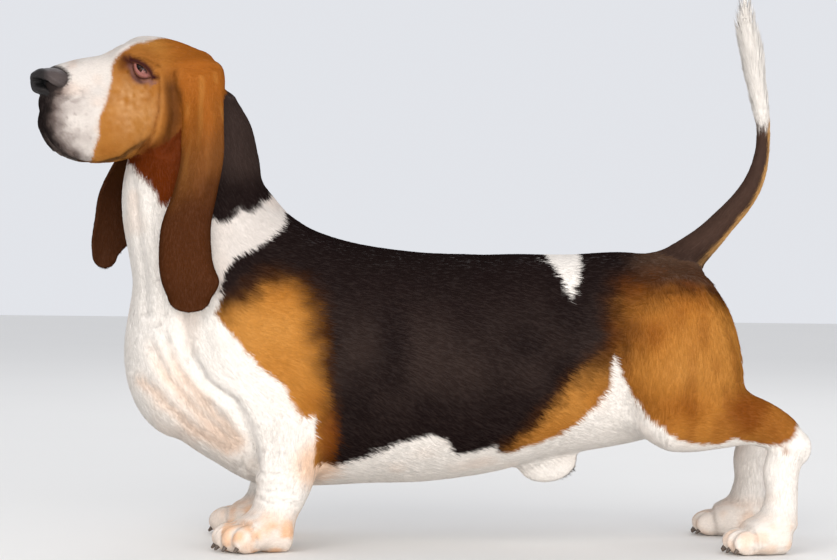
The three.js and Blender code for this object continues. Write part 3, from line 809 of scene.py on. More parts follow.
def eye_frame(head_points, mirror):
    """Places round an eye: (out from the eyeball's middle, along the slit to its inner corner, across it)."""
    q = (head_points - eye_centre(mirror)) * (1, mirror, 1)
    out = np.array(EYE_OUT)
    out /= np.linalg.norm(out)
    forward = np.array([out[1], -out[0], 0])
    c, s = math.cos(EYE_SLANT), math.sin(EYE_SLANT)
    along = forward * c + np.array([0, 0, s])
    up = np.array([0, 0, c]) - forward * s
    return q, q @ out, q @ along, q @ up


def eye_opening(head_points, mirror):
    """(how far inside the lids' opening, how far above the haw's edge, how far below the upper lid)."""
    _, out, a, b = eye_frame(head_points, mirror)
    arch = np.clip(1 - (a / EYE_HALF_LENGTH) ** 2, 0, None)
    droop = np.clip(1 - ((a + 1.5) / (EYE_HALF_LENGTH - 1.5)) ** 2, 0, None)
    upper = UPPER_LID * arch**0.8
    lower = -LOWER_LID * droop**0.9
    opening = np.minimum(np.minimum(upper - b, b - lower), (EYE_HALF_LENGTH - np.abs(a)) * 0.6)
    haw = b + HAW_EDGE * droop - 1.6 * smoothstep(2, 10, a)
    return np.where(out > 2, opening, -9.0), haw, upper - b


def crease(distance, depth, width):
    """A groove with a low swell on each side of it."""
    return depth * (0.45 * bell(distance - 2 * width, 1.2 * width) - bell(distance, width))


def clear_of_ears(points):
    """0 on the ears and 1 elsewhere."""
    clear = np.ones(len(points))
    for ear in ears.values():
        near = ear.near(points)
        clear[near] *= smoothstep(1.5, 3.0, ear.distance(points[near]))
    return clear


def relief(points):
    """How far the folds, the creases and the lips' groove lift or sink the skin at each point."""
    shift = np.zeros(len(points))
    side = points[:, [0, 2]]
    fore = smoothstep(6, 30, np.abs(points[:, 1])) * clear_of_ears(points)
    for line, depth, width in FOLDS:
        line = np.array(line)
        near = ((side > line.min(0) - 5 * width) & (side < line.max(0) + 5 * width)).all(1)
        d = line_distance(side[near] + 2.0 * noise(points[near], 30, 3)[:, None], line)
        shift[near] += crease(d, depth, width) * fore[near]
    head = to_head(points)
    is_head = (head[:, 0] > 5) & (head[:, 2] > 375)
    mirrored = folded(head[is_head])
    for line, depth, width in HEAD_FOLDS:
        shift[is_head] += crease(line_distance(mirrored, line), depth, width)
    shift[is_head] -= 2.6 * smoothstep(50, 80, mirrored[:, 0]) * bell(line_distance(mirrored, LIP), 2.0)
    return shift


def detailed(points, normals):
    """The skin's points moved out or in by its folds, lips and lids."""
    points = points + relief(points)[:, None] * normals
    head = to_head(points)
    for mirror in (1, -1):
        q, out, _, _ = eye_frame(head, mirror)
        r = np.linalg.norm(q, axis=1)
        near = np.nonzero((r < 24) & (out > 0))[0]
        opening, haw, _ = eye_opening(head[near], mirror)
        inner = np.where(haw > 0, EYE_RADIUS - 3.0, EYE_RADIUS + 0.5)
        rim = EYE_RADIUS + 2.3 * bell(opening, 2.2) + 0.4
        wanted = r[near] + (np.maximum(rim - r[near], 0)) * bell(np.minimum(opening + 0.6, 0), 2.5)
        wanted = wanted + (inner - wanted) * smoothstep(-0.3, 0.5, opening)
        c = from_head(eye_centre(mirror))
        points[near] = c + (points[near] - c) * (wanted / r[near])[:, None]
    return points


def refined(points, quads):
    """The net with its quads round the eyes and lips cut finer, each new point back on the surface."""
    mesh = bpy.data.meshes.new("net")
    mesh.from_pydata(points.tolist(), [], quads.tolist())
    bm = bmesh.new()
    bm.from_mesh(mesh)
    for reach_eye, reach_lip in ((24, 8), (20, 3.5)):
        co = np.array([v.co[:] for v in bm.verts])
        head = to_head(co)
        mirrored = folded(head)
        close = np.linalg.norm(mirrored - EYE_AT, axis=1) < reach_eye
        front = head[:, 0] > 40
        close[front] |= line_distance(mirrored[front], LIP) < reach_lip
        bm.verts.ensure_lookup_table()
        edges = [e for e in bm.edges if close[e.verts[0].index] and close[e.verts[1].index]]
        bmesh.ops.subdivide_edges(bm, edges=edges, cuts=1, use_grid_fill=True)
        bm.verts.index_update()
    bm.to_mesh(mesh)
    bm.free()
    found = vertex_rows(mesh)
    new = np.nonzero(np.linalg.norm(np.abs(to_head(found)) - EYE_AT, axis=1) < 40)[0]
    found[new] = on_surface(found[new], 2)
    return mesh, found


def owners_of(points):
    """The body of the flesh that each point belongs to; an ear gives way where it lies against another."""
    best = np.full(len(points), FAR)
    owner = np.zeros(len(points), int)
    for i, leaf in enumerate(leaves):
        near = leaf.near(points)
        d = leaf.distance(points[near]) + 1.2 * isinstance(leaf, Leaf)
        closer = d < best[near]
        index = np.nonzero(near)[0][closer]
        best[index] = d[closer]
        owner[index] = i
    return owner


REGIONS = np.array([leaf.region for leaf in leaves])


def noises(points, size, *salts):
    """Unlike noises of one size, side by side."""
    return np.stack([noise(points, size, salt) for salt in salts], 1)


def spot(x, z, at, squash=1.0):
    """Distance from a place in side view, with heights counted by the squash."""
    return np.hypot(x - at[0], (z - at[1]) * squash)


def layer(colour, over, mask):
    """A colour with another over it, as far as the mask from 0 to 1 says."""
    return colour + (over - colour) * np.clip(mask, 0, 1)[:, None]


def body_colour(p, jitter):
    """Colour of trunk, neck and limbs: white, with tan under a black saddle, from outlines in side view."""
    x, y, z = p.T
    right = smoothstep(10, 60, y)
    q = p[:, [0, 2]]
    q[:, 0] += right * (10 * np.sin(z / 34) + 5) + 2.5 * noise(p, 16, 1) + 1.4 * noise(p, 5, 2)
    q[:, 1] += right * 9 * np.sin(x / 47) + 2.5 * noise(p, 16, 4) + 1.4 * noise(p, 5, 5)
    q += jitter[:, None] * 1.2
    tan_in = np.maximum.reduce([inside_by(q, patch) for patch in (SHOULDER_TAN, THIGH_TAN, FLANK_TAN, ELBOW_TAN)])
    saddle = inside_by(q, SADDLE)
    rough = noise(p, 9, 6)
    reach = 5 + 9 * smoothstep(225, 260, z) + 4 * (x > 60)
    soft = smoothstep(-1, 1, (saddle + 4 * rough + 3 * jitter) / reach)
    crisp = smoothstep(-1.5, 1.5, saddle)
    black = crisp + (soft - crisp) * smoothstep(-6, 4, tan_in)
    shade = 0.5 + 0.5 * noise(p, 38, 7)
    tan = TAN + (TAN_LIGHT - TAN) * (0.2 + 0.5 * shade)[:, None]
    tan = layer(tan, TAN_DARK, 0.45 * smoothstep(0.5, 0.0, shade))
    edge = 24 + 42 * smoothstep(150, 200, x) - 30 * smoothstep(225, 265, x)
    edge = edge + 14 * smoothstep(160, 200, z) * (x < 0)
    near_black = smoothstep(1, 0, (-saddle + 6 * rough) / edge)
    tan = layer(tan, TAN_EDGE, near_black**1.2)
    tan = layer(tan, TAN_DARK, 0.8 * smoothstep(20, 5, spot(x, z, ELBOW_SHADE, 0.5)))
    streaks = smoothstep(0.0, 0.7, noise(p * (1, 1, 0.4), 13, 22)) * smoothstep(170, 220, x)
    tan = layer(tan, TAN_DARK, 0.16 * smoothstep(180, 230, x) + 0.3 * streaks)
    low_thigh = smoothstep(40, 6, spot(x, z, LOW_THIGH, 0.9) + 5 * rough)
    shank = smoothstep(325, 350, x) * smoothstep(165, 140, z)
    tan = layer(tan, TAN_DARK, np.maximum(0.95 * low_thigh, (0.5 + 0.2 * rough) * shank))
    colour = layer(WHITE, WARM_WHITE, smoothstep(0.2, 1.0, noise(p, 30, 8)) * 0.4)
    colour = layer(colour, GREY_TICK, 0.36 * smoothstep(250, 285, z) * smoothstep(-285, -250, x))
    toes = smoothstep(52, 22, z)
    toes = toes * (1 - 0.5 * (x > 0)) * (0.2 + 0.7 * smoothstep(-0.3, 0.5, noise(p, 10, 9)))
    colour = layer(colour, PEACH, np.maximum(toes, 0.7 * smoothstep(34, 8, spot(x, z, ELBOW_PEACH))))
    ticks = smoothstep(0.66, 0.8, noise(p, 5.5, 10)) * smoothstep(0.0, 0.5, noise(p, 40, 11))
    colour = layer(colour, GREY_TICK, 0.45 * ticks * (x < -100))
    # Peach along the chest's folds: pink skin in the creases, with painted crease shade.
    for line, _, width in FOLDS[3:6]:
        near = np.abs(q - np.mean(line, 0)).max(1) < 80
        colour[near] = layer(colour[near], PEACH, 0.42 * smoothstep(225, 175, q[near, 1])
                             * bell(line_distance(q[near], line) / width, 1.3))
    hock = smoothstep(5, 2, spot(x, z, HOCK_TAN))
    tanned = np.maximum(smoothstep(-1.5, 1.5, tan_in), hock * 0.6)
    colour = layer(colour, tan, np.maximum(tanned, smoothstep(0, 3, saddle)))
    rump = smoothstep(200, 245, x + 8 * rough) * smoothstep(258, 276, z + 5 * rough)
    sheen = bell(z - 200, 48) * smoothstep(-0.7, 0.6, noise(p, 36, 23))
    dark = layer(BLACK, SIDE_SHEEN, 0.75 * sheen)
    dark = layer(dark, RUMP_BROWN, 0.85 * rump)
    colour = layer(colour, dark, black)
    colour = layer(colour, WHITE, smoothstep(-1.5, 1.5, inside_by(q, LOIN_WHITE)))
    nape = smoothstep(-2, 2, inside_by(q, NAPE_BLACK) + 4 * noise(p, 20, 21) * smoothstep(45, 25, np.abs(y)))
    # The neck's black with painted sheen, darker low down with painted shadow of the ear.
    dark_neck = layer(NECK_BLACK, BLACK, 0.95 * smoothstep(402, 365, z + 6 * rough))
    return layer(layer(colour, dark_neck, nape), THROAT_RED, smoothstep(-2.5, 2.5, inside_by(q, THROAT_PATCH)))


def tail_colour(p, jitter):
    """Dark above and golden beneath, then the white brush."""
    z = p[:, 2]
    _, row, _, _, up = TAIL_FORM.local(p)
    beneath = smoothstep(0.5, 0.85, -up / row[:, 5] + 0.12 * noise(p, 8, 1) + 0.08 * jitter)
    beneath = beneath * smoothstep(285, 305, z)
    colour = layer(TAIL_DARK, GOLD, beneath * 0.9)
    colour = layer(colour, BLACK, 0.5 * smoothstep(325, 290, z))
    brush = smoothstep(-9, 9, z - 440 + 5 * noise(p, 7, 2) + 4 * jitter)
    return layer(colour, WHITE, brush)


def head_colour(p, jitter):
    """White muzzle and blaze, tan behind them, dark lips and lid rims, and a red patch under the jaw."""
    h = to_head(p)
    fore, left, z = h.T
    q = h[:, [0, 2]] + 1.3 * noises(p, 9, 1, 2) + 0.8 * jitter[:, None]
    right = smoothstep(0, -25, left)
    q[:, 0] += right * 5 * np.sin(z / 17)
    mirrored = folded(h)
    mottled = 0.5 + 0.5 * noise(p, 11, 3)
    frost = bell(spot(fore, z, CHEEK_FROST, 0.75), 21)
    tan = layer(FACE_TAN, TAN_LIGHT, 0.5 * mottled * smoothstep(30, 75, fore))
    tan = layer(tan, FACE_FROST, frost * (0.4 + 0.45 * noise(p, 4, 12) + 0.25 * noise(p, 9, 18)))
    tan = layer(tan, EAR_TOP, smoothstep(52, 20, fore))
    tan = layer(tan, TAN_LIGHT, 0.5 * bell(spot(fore, z, BROW_LIGHT, 22 / 9), 22))
    # Painted shade: in the hollow between cheek and ear, at the eye's inner corner, and round the eye under the
    # brow.
    hollow = bell(line_distance(mirrored, HEAD_FOLDS[1][0]), 8.5)
    tan = layer(tan, FACE_SHADE, 0.8 * hollow * (0.25 + 0.75 * smoothstep(486, 470, z)))
    inner = spot(fore, z, EYE_CORNER, 1.4)
    tan = layer(tan, FACE_SHADE, 0.7 * smoothstep(17, 2, inner + 3 * noise(p, 6, 13)))
    tan = layer(tan, TAN_DARK, 0.5 * smoothstep(30, 12, spot(fore, z, EYE_HOLLOW)))
    tan = layer(tan, THROAT_RED, smoothstep(428, 405, z) * smoothstep(75, 55, fore))
    nape = 476 - 0.3 * np.abs(left) + 4 * noise(p, 12, 17) + 2 * jitter
    tan = layer(tan, NECK_BLACK, smoothstep(-5, 5, nape - z) * smoothstep(-14, -20, fore))
    white = layer(WHITE, WARM_WHITE, 0.5 * smoothstep(0, 0.8, noise(p, 13, 4)))
    front = smoothstep(104, 138, fore + 0.25 * (462 - z))
    ticks = smoothstep(0.3, 0.7, noise(p, 4, 5)) * front
    white = layer(white, GREY_TICK, 0.32 + 0.35 * ticks + 0.3 * front * smoothstep(-0.3, 0.8, noise(p, 15, 14)))
    colour = layer(tan, white, smoothstep(-1.4, 1.4, inside_by(q, FACE_WHITE)))
    lip = line_distance(mirrored, LIP)
    ragged = q + 2.2 * noises(p, 7, 15, 16)
    # The muzzle's dark front: lip leather, and painted shade under the nose, fading out through a darker mottled
    # band.
    front_dark = inside_by(ragged, LIP_LEATHER_AND_SHADE) - 5 * smoothstep(0, -20, left) * smoothstep(425, 445, z)
    mottle = 3 * noise(p, 4, 6) + 3 * noise(p, 9, 19) + 2 * jitter
    colour = colour * (1 - 0.8 * smoothstep(-19, 3, front_dark + mottle))[:, None] ** np.array([1.0, 1.1, 1.12])
    lip_part = smoothstep(52, 78, fore)
    colour = colour * (1 - 0.75 * lip_part * smoothstep(7, 2, lip + 0.4 * mottle))[:, None]
    dark = np.maximum(smoothstep(-1, 7, front_dark + 0.6 * mottle), 0.6 * lip_part * smoothstep(3.5, 1.5, lip))
    colour = layer(colour, LEATHER, dark)
    colour = layer(colour, LEATHER, smoothstep(2.5, 0.5, NOSE_FORM.distance(p)))
    # Painted shade along the crease behind the eye.
    colour = layer(colour, TAN_DARK, 0.5 * bell(line_distance(mirrored, HEAD_FOLDS[0][0]), 1.8))
    for mirror in (1, -1):
        q, out, a, b = eye_frame(h, mirror)
        opening, _, _ = eye_opening(h, mirror)
        near = (np.linalg.norm(q, axis=1) < 26) & (out > 0)
        # Dark lid rims, the upper one widened with painted shade under the lashes, and painted shade at the eye's
        # inner corner.
        upper = smoothstep(-1, 2, b)
        rim = bell(opening + 0.9 + 0.5 * upper, 1.5 + 1.5 * upper) * near
        corner = bell(a - 18, 8) * bell(b + 1.5, 3.8) * near
        lower = bell(opening + 4.4, 3.4) * smoothstep(1, -3, b) * smoothstep(19, 12, a) * near
        bag = bell(a + 5, 6) * bell(b + 10.5, 2.2) * near
        colour = layer(colour, LID_MAUVE, 0.75 * lower)
        colour = layer(colour, LID_DARK, np.maximum(rim, 0.85 * corner) + 0.5 * bag)
        wet = HAW_PINK + (LID_DARK - HAW_PINK) * (0.75 * smoothstep(2.2, 0.6, opening))[:, None]
        colour = colour + (wet - colour) * (smoothstep(0.4, 1.0, opening) * near)[:, None]
    return colour


def ear_colour(p, jitter, ear):
    """Orange-brown at the root, dark brown below, and darker on the inside, where shade is painted."""
    s, _, down, _, _, off = ear.local(p)
    place = down + 0.07 * noise(p, 22, 1) + 0.06 * s
    colour = layer(EAR_TOP, EAR_MIDDLE, smoothstep(0.1, 0.4, place))
    colour = layer(colour, EAR_LOW, smoothstep(0.35, 0.65, place))
    streak = noise(p * (1, 1, 0.25), 7, 2)
    colour = layer(colour, TAN_LIGHT, 0.3 * smoothstep(0.2, 0.9, streak) * smoothstep(0.6, 0.2, down))
    # Painted shade: in the hollow by the cheek at the ear's front edge, and along both edges of the lower ear.
    front_edge = smoothstep(24, 32, to_head(p)[:, 0]) * smoothstep(0.06, 0.12, down) * smoothstep(0.5, 0.3, down)
    colour = layer(colour, FACE_SHADE, 0.8 * front_edge)
    colour = layer(colour, EAR_LOW * 0.55, 0.5 * smoothstep(0.7, 1.0, np.abs(s)) * smoothstep(0.3, 0.6, down))
    colour = layer(colour, EAR_LOW * 0.7, 0.35 * smoothstep(0.82, 1.0, down))
    # The inside darkened with painted shade.
    return layer(colour, EAR_INSIDE, 0.7 * smoothstep(0, 1.0, -off * ear.sign))


def coat_colour(points, owner, jitter):
    """The colour of skin or hair rooted at each point, in linear light."""
    colour = np.zeros((len(points), 3))
    painters = {"tail": tail_colour, "head": head_colour}
    kind = np.where(np.isin(REGIONS, [*painters, *ears]), REGIONS, "body")[owner]
    for name in np.unique(kind):
        part = kind == name
        p, j = points[part].astype(float), jitter[part]
        colour[part] = ear_colour(p, j, ears[name]) if name in ears else painters.get(name, body_colour)(p, j)
    return np.clip(colour, 0.003, 0.95)


class Value:
    """A shader socket that takes part in ordinary arithmetic, each step adding a Math node."""

    def __init__(self, tree, socket):
        self.tree, self.socket = tree, socket

    def join(self, operation, *others):
        return self.tree.node("ShaderNodeMath", {"operation": operation}, dict(enumerate([self, *others]))).out(0)

    def __add__(self, other):
        return self.join("ADD", other)

    def __mul__(self, other):
        return self.join("MULTIPLY", other)

    def __rsub__(self, other):
        return self.tree.node("ShaderNodeMath", {"operation": "SUBTRACT"}, {0: other, 1: self}).out(0)

    def between(self, low, high, start=0.0, end=1.0):
        """Eased from start to end as this value goes from low to high."""
        links = {0: self, 1: low, 2: high, 3: start, 4: end}
        return self.tree.node("ShaderNodeMapRange", {"interpolation_type": "SMOOTHSTEP"}, links).out(0)


class Made:
    """A node of the tree, whose outputs are taken as values."""

    def __init__(self, tree, node):
        self.tree, self.made = tree, node

    def out(self, key):
        return Value(self.tree, self.made.outputs[key])


class Finish:
    """A material and its node tree, with the Principled shader that it starts from."""

    def __init__(self, name, **constants):
        self.material = bpy.data.materials.new(name)
        self.material.use_nodes = True
        self.nodes = self.material.node_tree.nodes
        self.shader = self.nodes["Principled BSDF"]
        for key, value in constants.items():
            self.shader.inputs[key.replace("_", " ")].default_value = value

    def node(self, kind, settings=None, links=None):
        made = self.nodes.new(kind)
        for key, value in (settings or {}).items():
            setattr(made, key, value)
        for key, value in (links or {}).items():
            self.link(value, made.inputs[key])
        return Made(self, made)

    def link(self, value, socket):
        if isinstance(value, Value):
            self.material.node_tree.links.new(value.socket, socket)
        else:
            socket.default_value = value

    def feed(self, key, value):
        self.link(value, self.shader.inputs[key])

    def place(self):
        return self.node("ShaderNodeTexCoord").out("Object")

    def noise(self, scale, detail=2.0, vector=None):
        links = {"Vector": vector or self.place(), "Scale": scale, "Detail": detail}
        return self.node("ShaderNodeTexNoise", None, links).out(0)

    def attribute(self, name, output="Fac"):
        return self.node("ShaderNodeAttribute", {"attribute_name": name}).out(output)

    def mixed(self, factor, first, second):
        """Two colours mixed by a factor."""
        return self.node("ShaderNodeMix", {"data_type": "RGBA"}, {0: factor, 6: first, 7: second}).out(2)

    def bump(self, height, distance, strength=1.0):
        links = {"Height": height, "Distance": distance, "Strength": strength}
        self.feed("Normal", self.node("ShaderNodeBump", None, links).out(0))


def skin_finish():
    """Skin and short flat hair: the painted markings, a fine streaky mottle and a fine bump."""
    finish = Finish("coat_skin", Specular_IOR_Level=0.05)
    colour = finish.attribute("coat", "Color")
    place = finish.place()
    fine = finish.noise(420.0, 3.0, place)
    finish.feed("Base Color", finish.mixed(fine.between(0.3, 0.7, 0.0, 0.12), colour, (0.05, 0.03, 0.02, 1)))
    finish.feed("Roughness", fine.between(0.2, 0.8, 0.5, 0.75))
    finish.bump(fine, 0.0006, 0.4)
    return finish.material


def hair_finish():
    """Hair: each tuft's own colour, glossier along the dark ones."""
    finish = Finish("coat_hair", Specular_IOR_Level=0.0)
    finish.feed("Base Color", finish.attribute("coat", "Color"))
    finish.feed("Roughness", finish.attribute("rough"))
    return finish.material


def nose_finish():
    """Moist black leather with round pebbles, painted shade on its front and underside and deep in the nostrils.
    """
    finish = Finish("nose_leather", Specular_IOR_Level=0.3)
    place = finish.place()
    cells = finish.node("ShaderNodeTexVoronoi", {"feature": "SMOOTH_F1"}, {"Vector": place, "Scale": 850.0}).out(0)
    blotch = finish.noise(60.0, 3.0, place)
    hole = finish.attribute("hole")
    dull_and_shade = finish.attribute("dull_and_shade")
    leather = finish.mixed(blotch, opaque(48, 42, 41), opaque(86, 74, 71))
    leather = finish.mixed(dull_and_shade * 0.9, leather, opaque(15, 12, 12))
    finish.feed("Base Color", finish.mixed(hole, leather, (0.002, 0.0015, 0.0015, 1)))
    finish.feed("Roughness", blotch.between(0.3, 0.7, 0.28, 0.45) + dull_and_shade * 0.3)
    finish.bump(1.0 - cells, 0.0009, 0.6)
    return finish.material


def claw_finish():
    """Dark horn, a little streaked."""
    finish = Finish("claw_horn", Specular_IOR_Level=0.5)
    streak = finish.noise(300.0, 2.0)
    finish.feed("Base Color", finish.mixed(streak, opaque(38, 30, 26), opaque(110, 92, 78)))
    finish.feed("Roughness", streak.between(0.2, 0.8, 0.3, 0.5))
    return finish.material


def eye_finish():
    """A wet eye: dark pupil, brown iris, dark ring and veined pinkish white, by the angle from its gaze, and
    painted shadow of the upper lid over its top.
    """
    finish = Finish("wet_eye", Roughness=0.12, Specular_IOR_Level=0.1)
    angle = finish.attribute("gaze")
    veins = finish.noise(500.0, 3.0)
    shade = finish.attribute("shade")
    white = finish.mixed(veins.between(0.45, 0.7), opaque(160, 116, 108), opaque(124, 74, 68))
    iris = finish.mixed(veins, opaque(40, 18, 10), opaque(74, 38, 20))
    colour = finish.mixed(angle.between(0.28, 0.34), (0.003, 0.002, 0.002, 1), iris)
    colour = finish.mixed(angle.between(0.44, 0.52), colour, (0.01, 0.005, 0.005, 1))
    colour = finish.mixed(angle.between(0.55, 0.63), colour, white)
    finish.feed("Base Color", finish.mixed(shade * 0.9, colour, (0.012, 0.005, 0.004, 1)))
    return finish.material


def new_piece(name, points, faces, finish, replaced=()):
    """A mesh object from points in millimetres, riding on the one body."""
    mesh = bpy.data.meshes.new(name)
    points = to_part(points)
    faces = np.asarray(faces)
    count, width = faces.shape
    mesh.vertices.add(len(points))
    mesh.vertices.foreach_set("co", points.ravel())
    mesh.loops.add(count * width)
    mesh.loops.foreach_set("vertex_index", faces.ravel().astype(np.int32))
    mesh.polygons.add(count)
    mesh.polygons.foreach_set("loop_start", np.arange(0, count * width, width, dtype=np.int32))
    mesh.update(calc_edges=True)
    mesh.polygons.foreach_set("use_smooth", np.ones(count, bool))
    mesh.validate()
    return placed(name, mesh, finish, replaced)


def linked(name, data):
    """A new object of the scene."""
    made = bpy.data.objects.new(name, data)
    bpy.context.scene.collection.objects.link(made)
    return made


def placed(name, mesh, finish, replaced=()):
    """A piece of the dog: its finish, the body that it rides on and the nodes that it replaces."""
    piece = linked(name, mesh)
    mesh.materials.append(finish)
    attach(piece, "root")
    if replaced:
        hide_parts(*replaced)
    return piece


def vertex_rows(mesh, key="co"):
    """A vector of each of the mesh's vertices."""
    found = np.empty(len(mesh.vertices) * 3)
    mesh.vertices.foreach_get(key, found)
    return found.reshape(-1, 3)


def set_colour(mesh, name, colours):
    """A colour for each vertex, which the finishes read by its name."""
    attribute = mesh.color_attributes.new(name, "FLOAT_COLOR", "POINT")
    opaque_colours = np.hstack([colours, np.ones((len(colours), 1))])
    attribute.data.foreach_set("color", opaque_colours.astype(np.float32).ravel())


def set_value(mesh, name, values):
    """A number for each vertex, which the finishes read by its name."""
    attribute = mesh.attributes.new(name, "FLOAT", "POINT")
    attribute.data.foreach_set("value", np.asarray(values, np.float32))


def swept(stations, caps, rings, around, power=2.0, side=ACROSS):
    """Points of a swept body on a grid: its ovals carried along the path and closed by half-ellipsoids."""
    table = framed(stations, PATH_ROWS, side)
    rise, fall = np.linspace(0, math.pi / 2, CAP_RINGS + 1)[1:], np.linspace(math.pi / 2, 0, CAP_RINGS + 1)[:-1]
    tilt = np.concatenate([-fall, np.zeros(rings + 1), rise])[:, None, None]
    ends = np.zeros(CAP_RINGS), np.ones(CAP_RINGS)
    place = np.concatenate([ends[0], np.linspace(0, 1, rings + 1), ends[1]]) * (PATH_ROWS - 1)
    i = np.minimum(place.astype(int), PATH_ROWS - 2)
    f = (place - i)[:, None]
    row = (table[i] * (1 - f) + table[i + 1] * f)[:, None]
    angle = np.linspace(0, 2 * math.pi, around, endpoint=False)[None, :, None]
    wide, tall = (np.sign(v) * np.abs(v) ** (2 / power) for v in (np.cos(angle), np.sin(angle)))
    x = wide * row[..., 3:4] * np.cos(tilt)
    y = tall * np.where(np.sin(angle) > 0, row[..., 4:5], row[..., 5:6]) * np.cos(tilt)
    a = np.sin(tilt) * np.where(tilt < 0, *caps)
    return row[..., :3] + row[..., 10:13] * x + row[..., 13:16] * y + row[..., 7:10] * a


def grid_faces(rows, columns):
    """Quads of a grid that closes round its columns."""
    i, j = np.meshgrid(np.arange(rows - 1), np.arange(columns), indexing="ij")
    a, b = i * columns + j, i * columns + (j + 1) % columns
    return np.stack([a, b, b + columns, a + columns], -1).reshape(-1, 4)


def closed_piece(name, grid, finish, replaced):
    """A swept grid as a mesh whose end rings, each shrunk to a point, are merged."""
    rows, columns = grid.shape[:2]
    piece = new_piece(name, grid.reshape(-1, 3), grid_faces(rows, columns), finish, replaced)
    bm = bmesh.new()
    bm.from_mesh(piece.data)
    bmesh.ops.remove_doubles(bm, verts=bm.verts, dist=1e-6)
    bmesh.ops.recalc_face_normals(bm, faces=bm.faces)
    bm.to_mesh(piece.data)
    bm.free()
    return piece


def make_nose():
    """The nose: a swept pad with a curved slit of a nostril on each side and a groove down its middle."""
    grid = swept(head_stations(NOSE), NOSE_CAPS, 60, 160, 2.3, HEAD_SIDE)
    h = to_head(grid.reshape(-1, 3))
    inward = unit(NOSE_MIDDLE - h)
    mirrored = folded(h)
    hole = line_distance(mirrored, NOSTRIL)
    outer = smoothstep(20, 27, mirrored[:, 1])
    width = 6.8 - 1.6 * outer - 2.0 * smoothstep(16, 9, mirrored[:, 1])
    depth = (10.0 - 4.5 * outer) * smoothstep(1.0, 0.5, hole / width)
    wing = 1.4 * bell(hole - 1.8 * width, 2.6)
    groove = 1.8 * bell(h[:, 1], 1.4) * smoothstep(158, 166, h[:, 0]) * smoothstep(484, 474, h[:, 2])
    h = h + inward * (depth + groove - wing)[:, None]
    piece = closed_piece("nose", from_head(h).reshape(grid.shape), nose_finish(), ["nose"])
    found = to_dog(vertex_rows(piece.data))
    # Painted shade: near black deep inside the nostrils, and darker, duller leather on the nose's front and
    # underside.
    set_value(piece.data, "hole", smoothstep(0.8, 3.0, -NOSE_FORM.distance(found)))
    h = to_head(found)
    set_value(piece.data, "dull_and_shade", np.maximum(smoothstep(156, 164, h[:, 0]), smoothstep(474, 466, h[:, 2])))


def make_eye(mirror, finish):
    """An eyeball with a low cornea bulge round its gaze."""
    u, v = np.meshgrid(np.linspace(0, math.pi, 49), np.linspace(0, 2 * math.pi, 64, endpoint=False), indexing="ij")
    sphere = np.stack([np.cos(u), np.sin(u) * np.cos(v), np.sin(u) * np.sin(v)], -1)
    gaze = np.array(EYE_GAZE) * (1, mirror, 1)
    gaze /= np.linalg.norm(gaze)
    side = np.cross(gaze, [0, 0, 1.0])
    side /= np.linalg.norm(side)
    turn = np.stack([gaze, side, np.cross(gaze, side)], 0)
    bulge = CORNEA * bell(u, 0.5)
    grid = (sphere * (EYE_RADIUS - CORNEA + bulge)[..., None]) @ turn + eye_centre(mirror)
    name = "left_eye" if mirror > 0 else "right_eye"
    mesh = closed_piece(name, from_head(grid), finish, [name]).data
    h = to_head(to_dog(vertex_rows(mesh)))
    # Painted shadow of the upper lid on the eyeball, just under the lid.
    set_value(mesh, "shade", smoothstep(4.6, 2.2, eye_opening(h, mirror)[2]))
    set_value(mesh, "gaze", np.arccos(np.clip(unit(h - eye_centre(mirror)) @ gaze, -1, 1)))


def make_claws(finish):
    """Blunt worn claws: each a short tapering body that comes down from its toe's end."""
    for side, sign in (("left", -1), ("right", 1)):
        for paw, toes in (("fore", FORE_TOES), ("hind", HIND_TOES)):
            for i, (at, angle) in enumerate(toe_places(toes, sign), 1):
                reach = [toes["size"][0] + past for past, _, _ in SHORT_CLAW]
                stations = [
                    [at[0] - math.cos(angle) * r, at[1] - math.sin(angle) * r, z, width * 0.85, width, width]
                    for r, (_, z, width) in zip(reach, SHORT_CLAW)
                ]
                name = f"{side}_{paw}_claw_{i}"
                closed_piece(name, swept(stations, (1, 1), 10, 14), finish, [name])


def coat_length(points, owner):
    """(length, width, lift) of the tufts: shortest on face and feet, longest on tail brush and hind fringe."""
    x, _, z = points.T
    region = REGIONS[owner]
    base = {"trunk": 7.5, "neck": 7, "left_ear": 4.5, "right_ear": 4.5, "tail": 8}
    length = np.array([base.get(r, 7.5 if r.endswith("thigh") else 6) for r in REGIONS])[owner]
    length = np.where(region == "head", 3.2 + 3.2 * smoothstep(90, 10, to_head(points)[:, 0]), length)
    length = length * (1 - 0.4 * smoothstep(60, 20, z))
    brush = smoothstep(430, 470, z) * (region == "tail")
    tail_middle = np.interp(z, [290, 319, 342, 366, 390, 416], [262, 300, 323, 344, 357, 363])
    fringe = smoothstep(0, 10, x - tail_middle) * ((region == "tail") & (z < 440))
    thigh_rear = np.interp(z, [115, 150, 190, 230, 268], [372, 330, 318, 305, 285])
    rear = smoothstep(0, 14, x - thigh_rear) * np.isin(region, ["left_thigh", "right_thigh", "trunk"])
    rear = rear * smoothstep(100, 130, z)
    belly = smoothstep(105, 75, z) * (region == "trunk")
    length = length + brush * 9 + fringe * 3 + rear * 5 + belly * 3
    lift = 0.055 * length + 0.15 + 0.03 * brush * length + fringe * 0.5 + rear
    return length, np.interp(length, [3.0, 6, 12, 22], [0.6, 0.8, 1.0, 1.1]), lift


def looseness(points, region):
    """1 on the tail's brush, whose hair stands free, and 0 elsewhere."""
    return (region == "tail") * smoothstep(425, 450, points[:, 2])


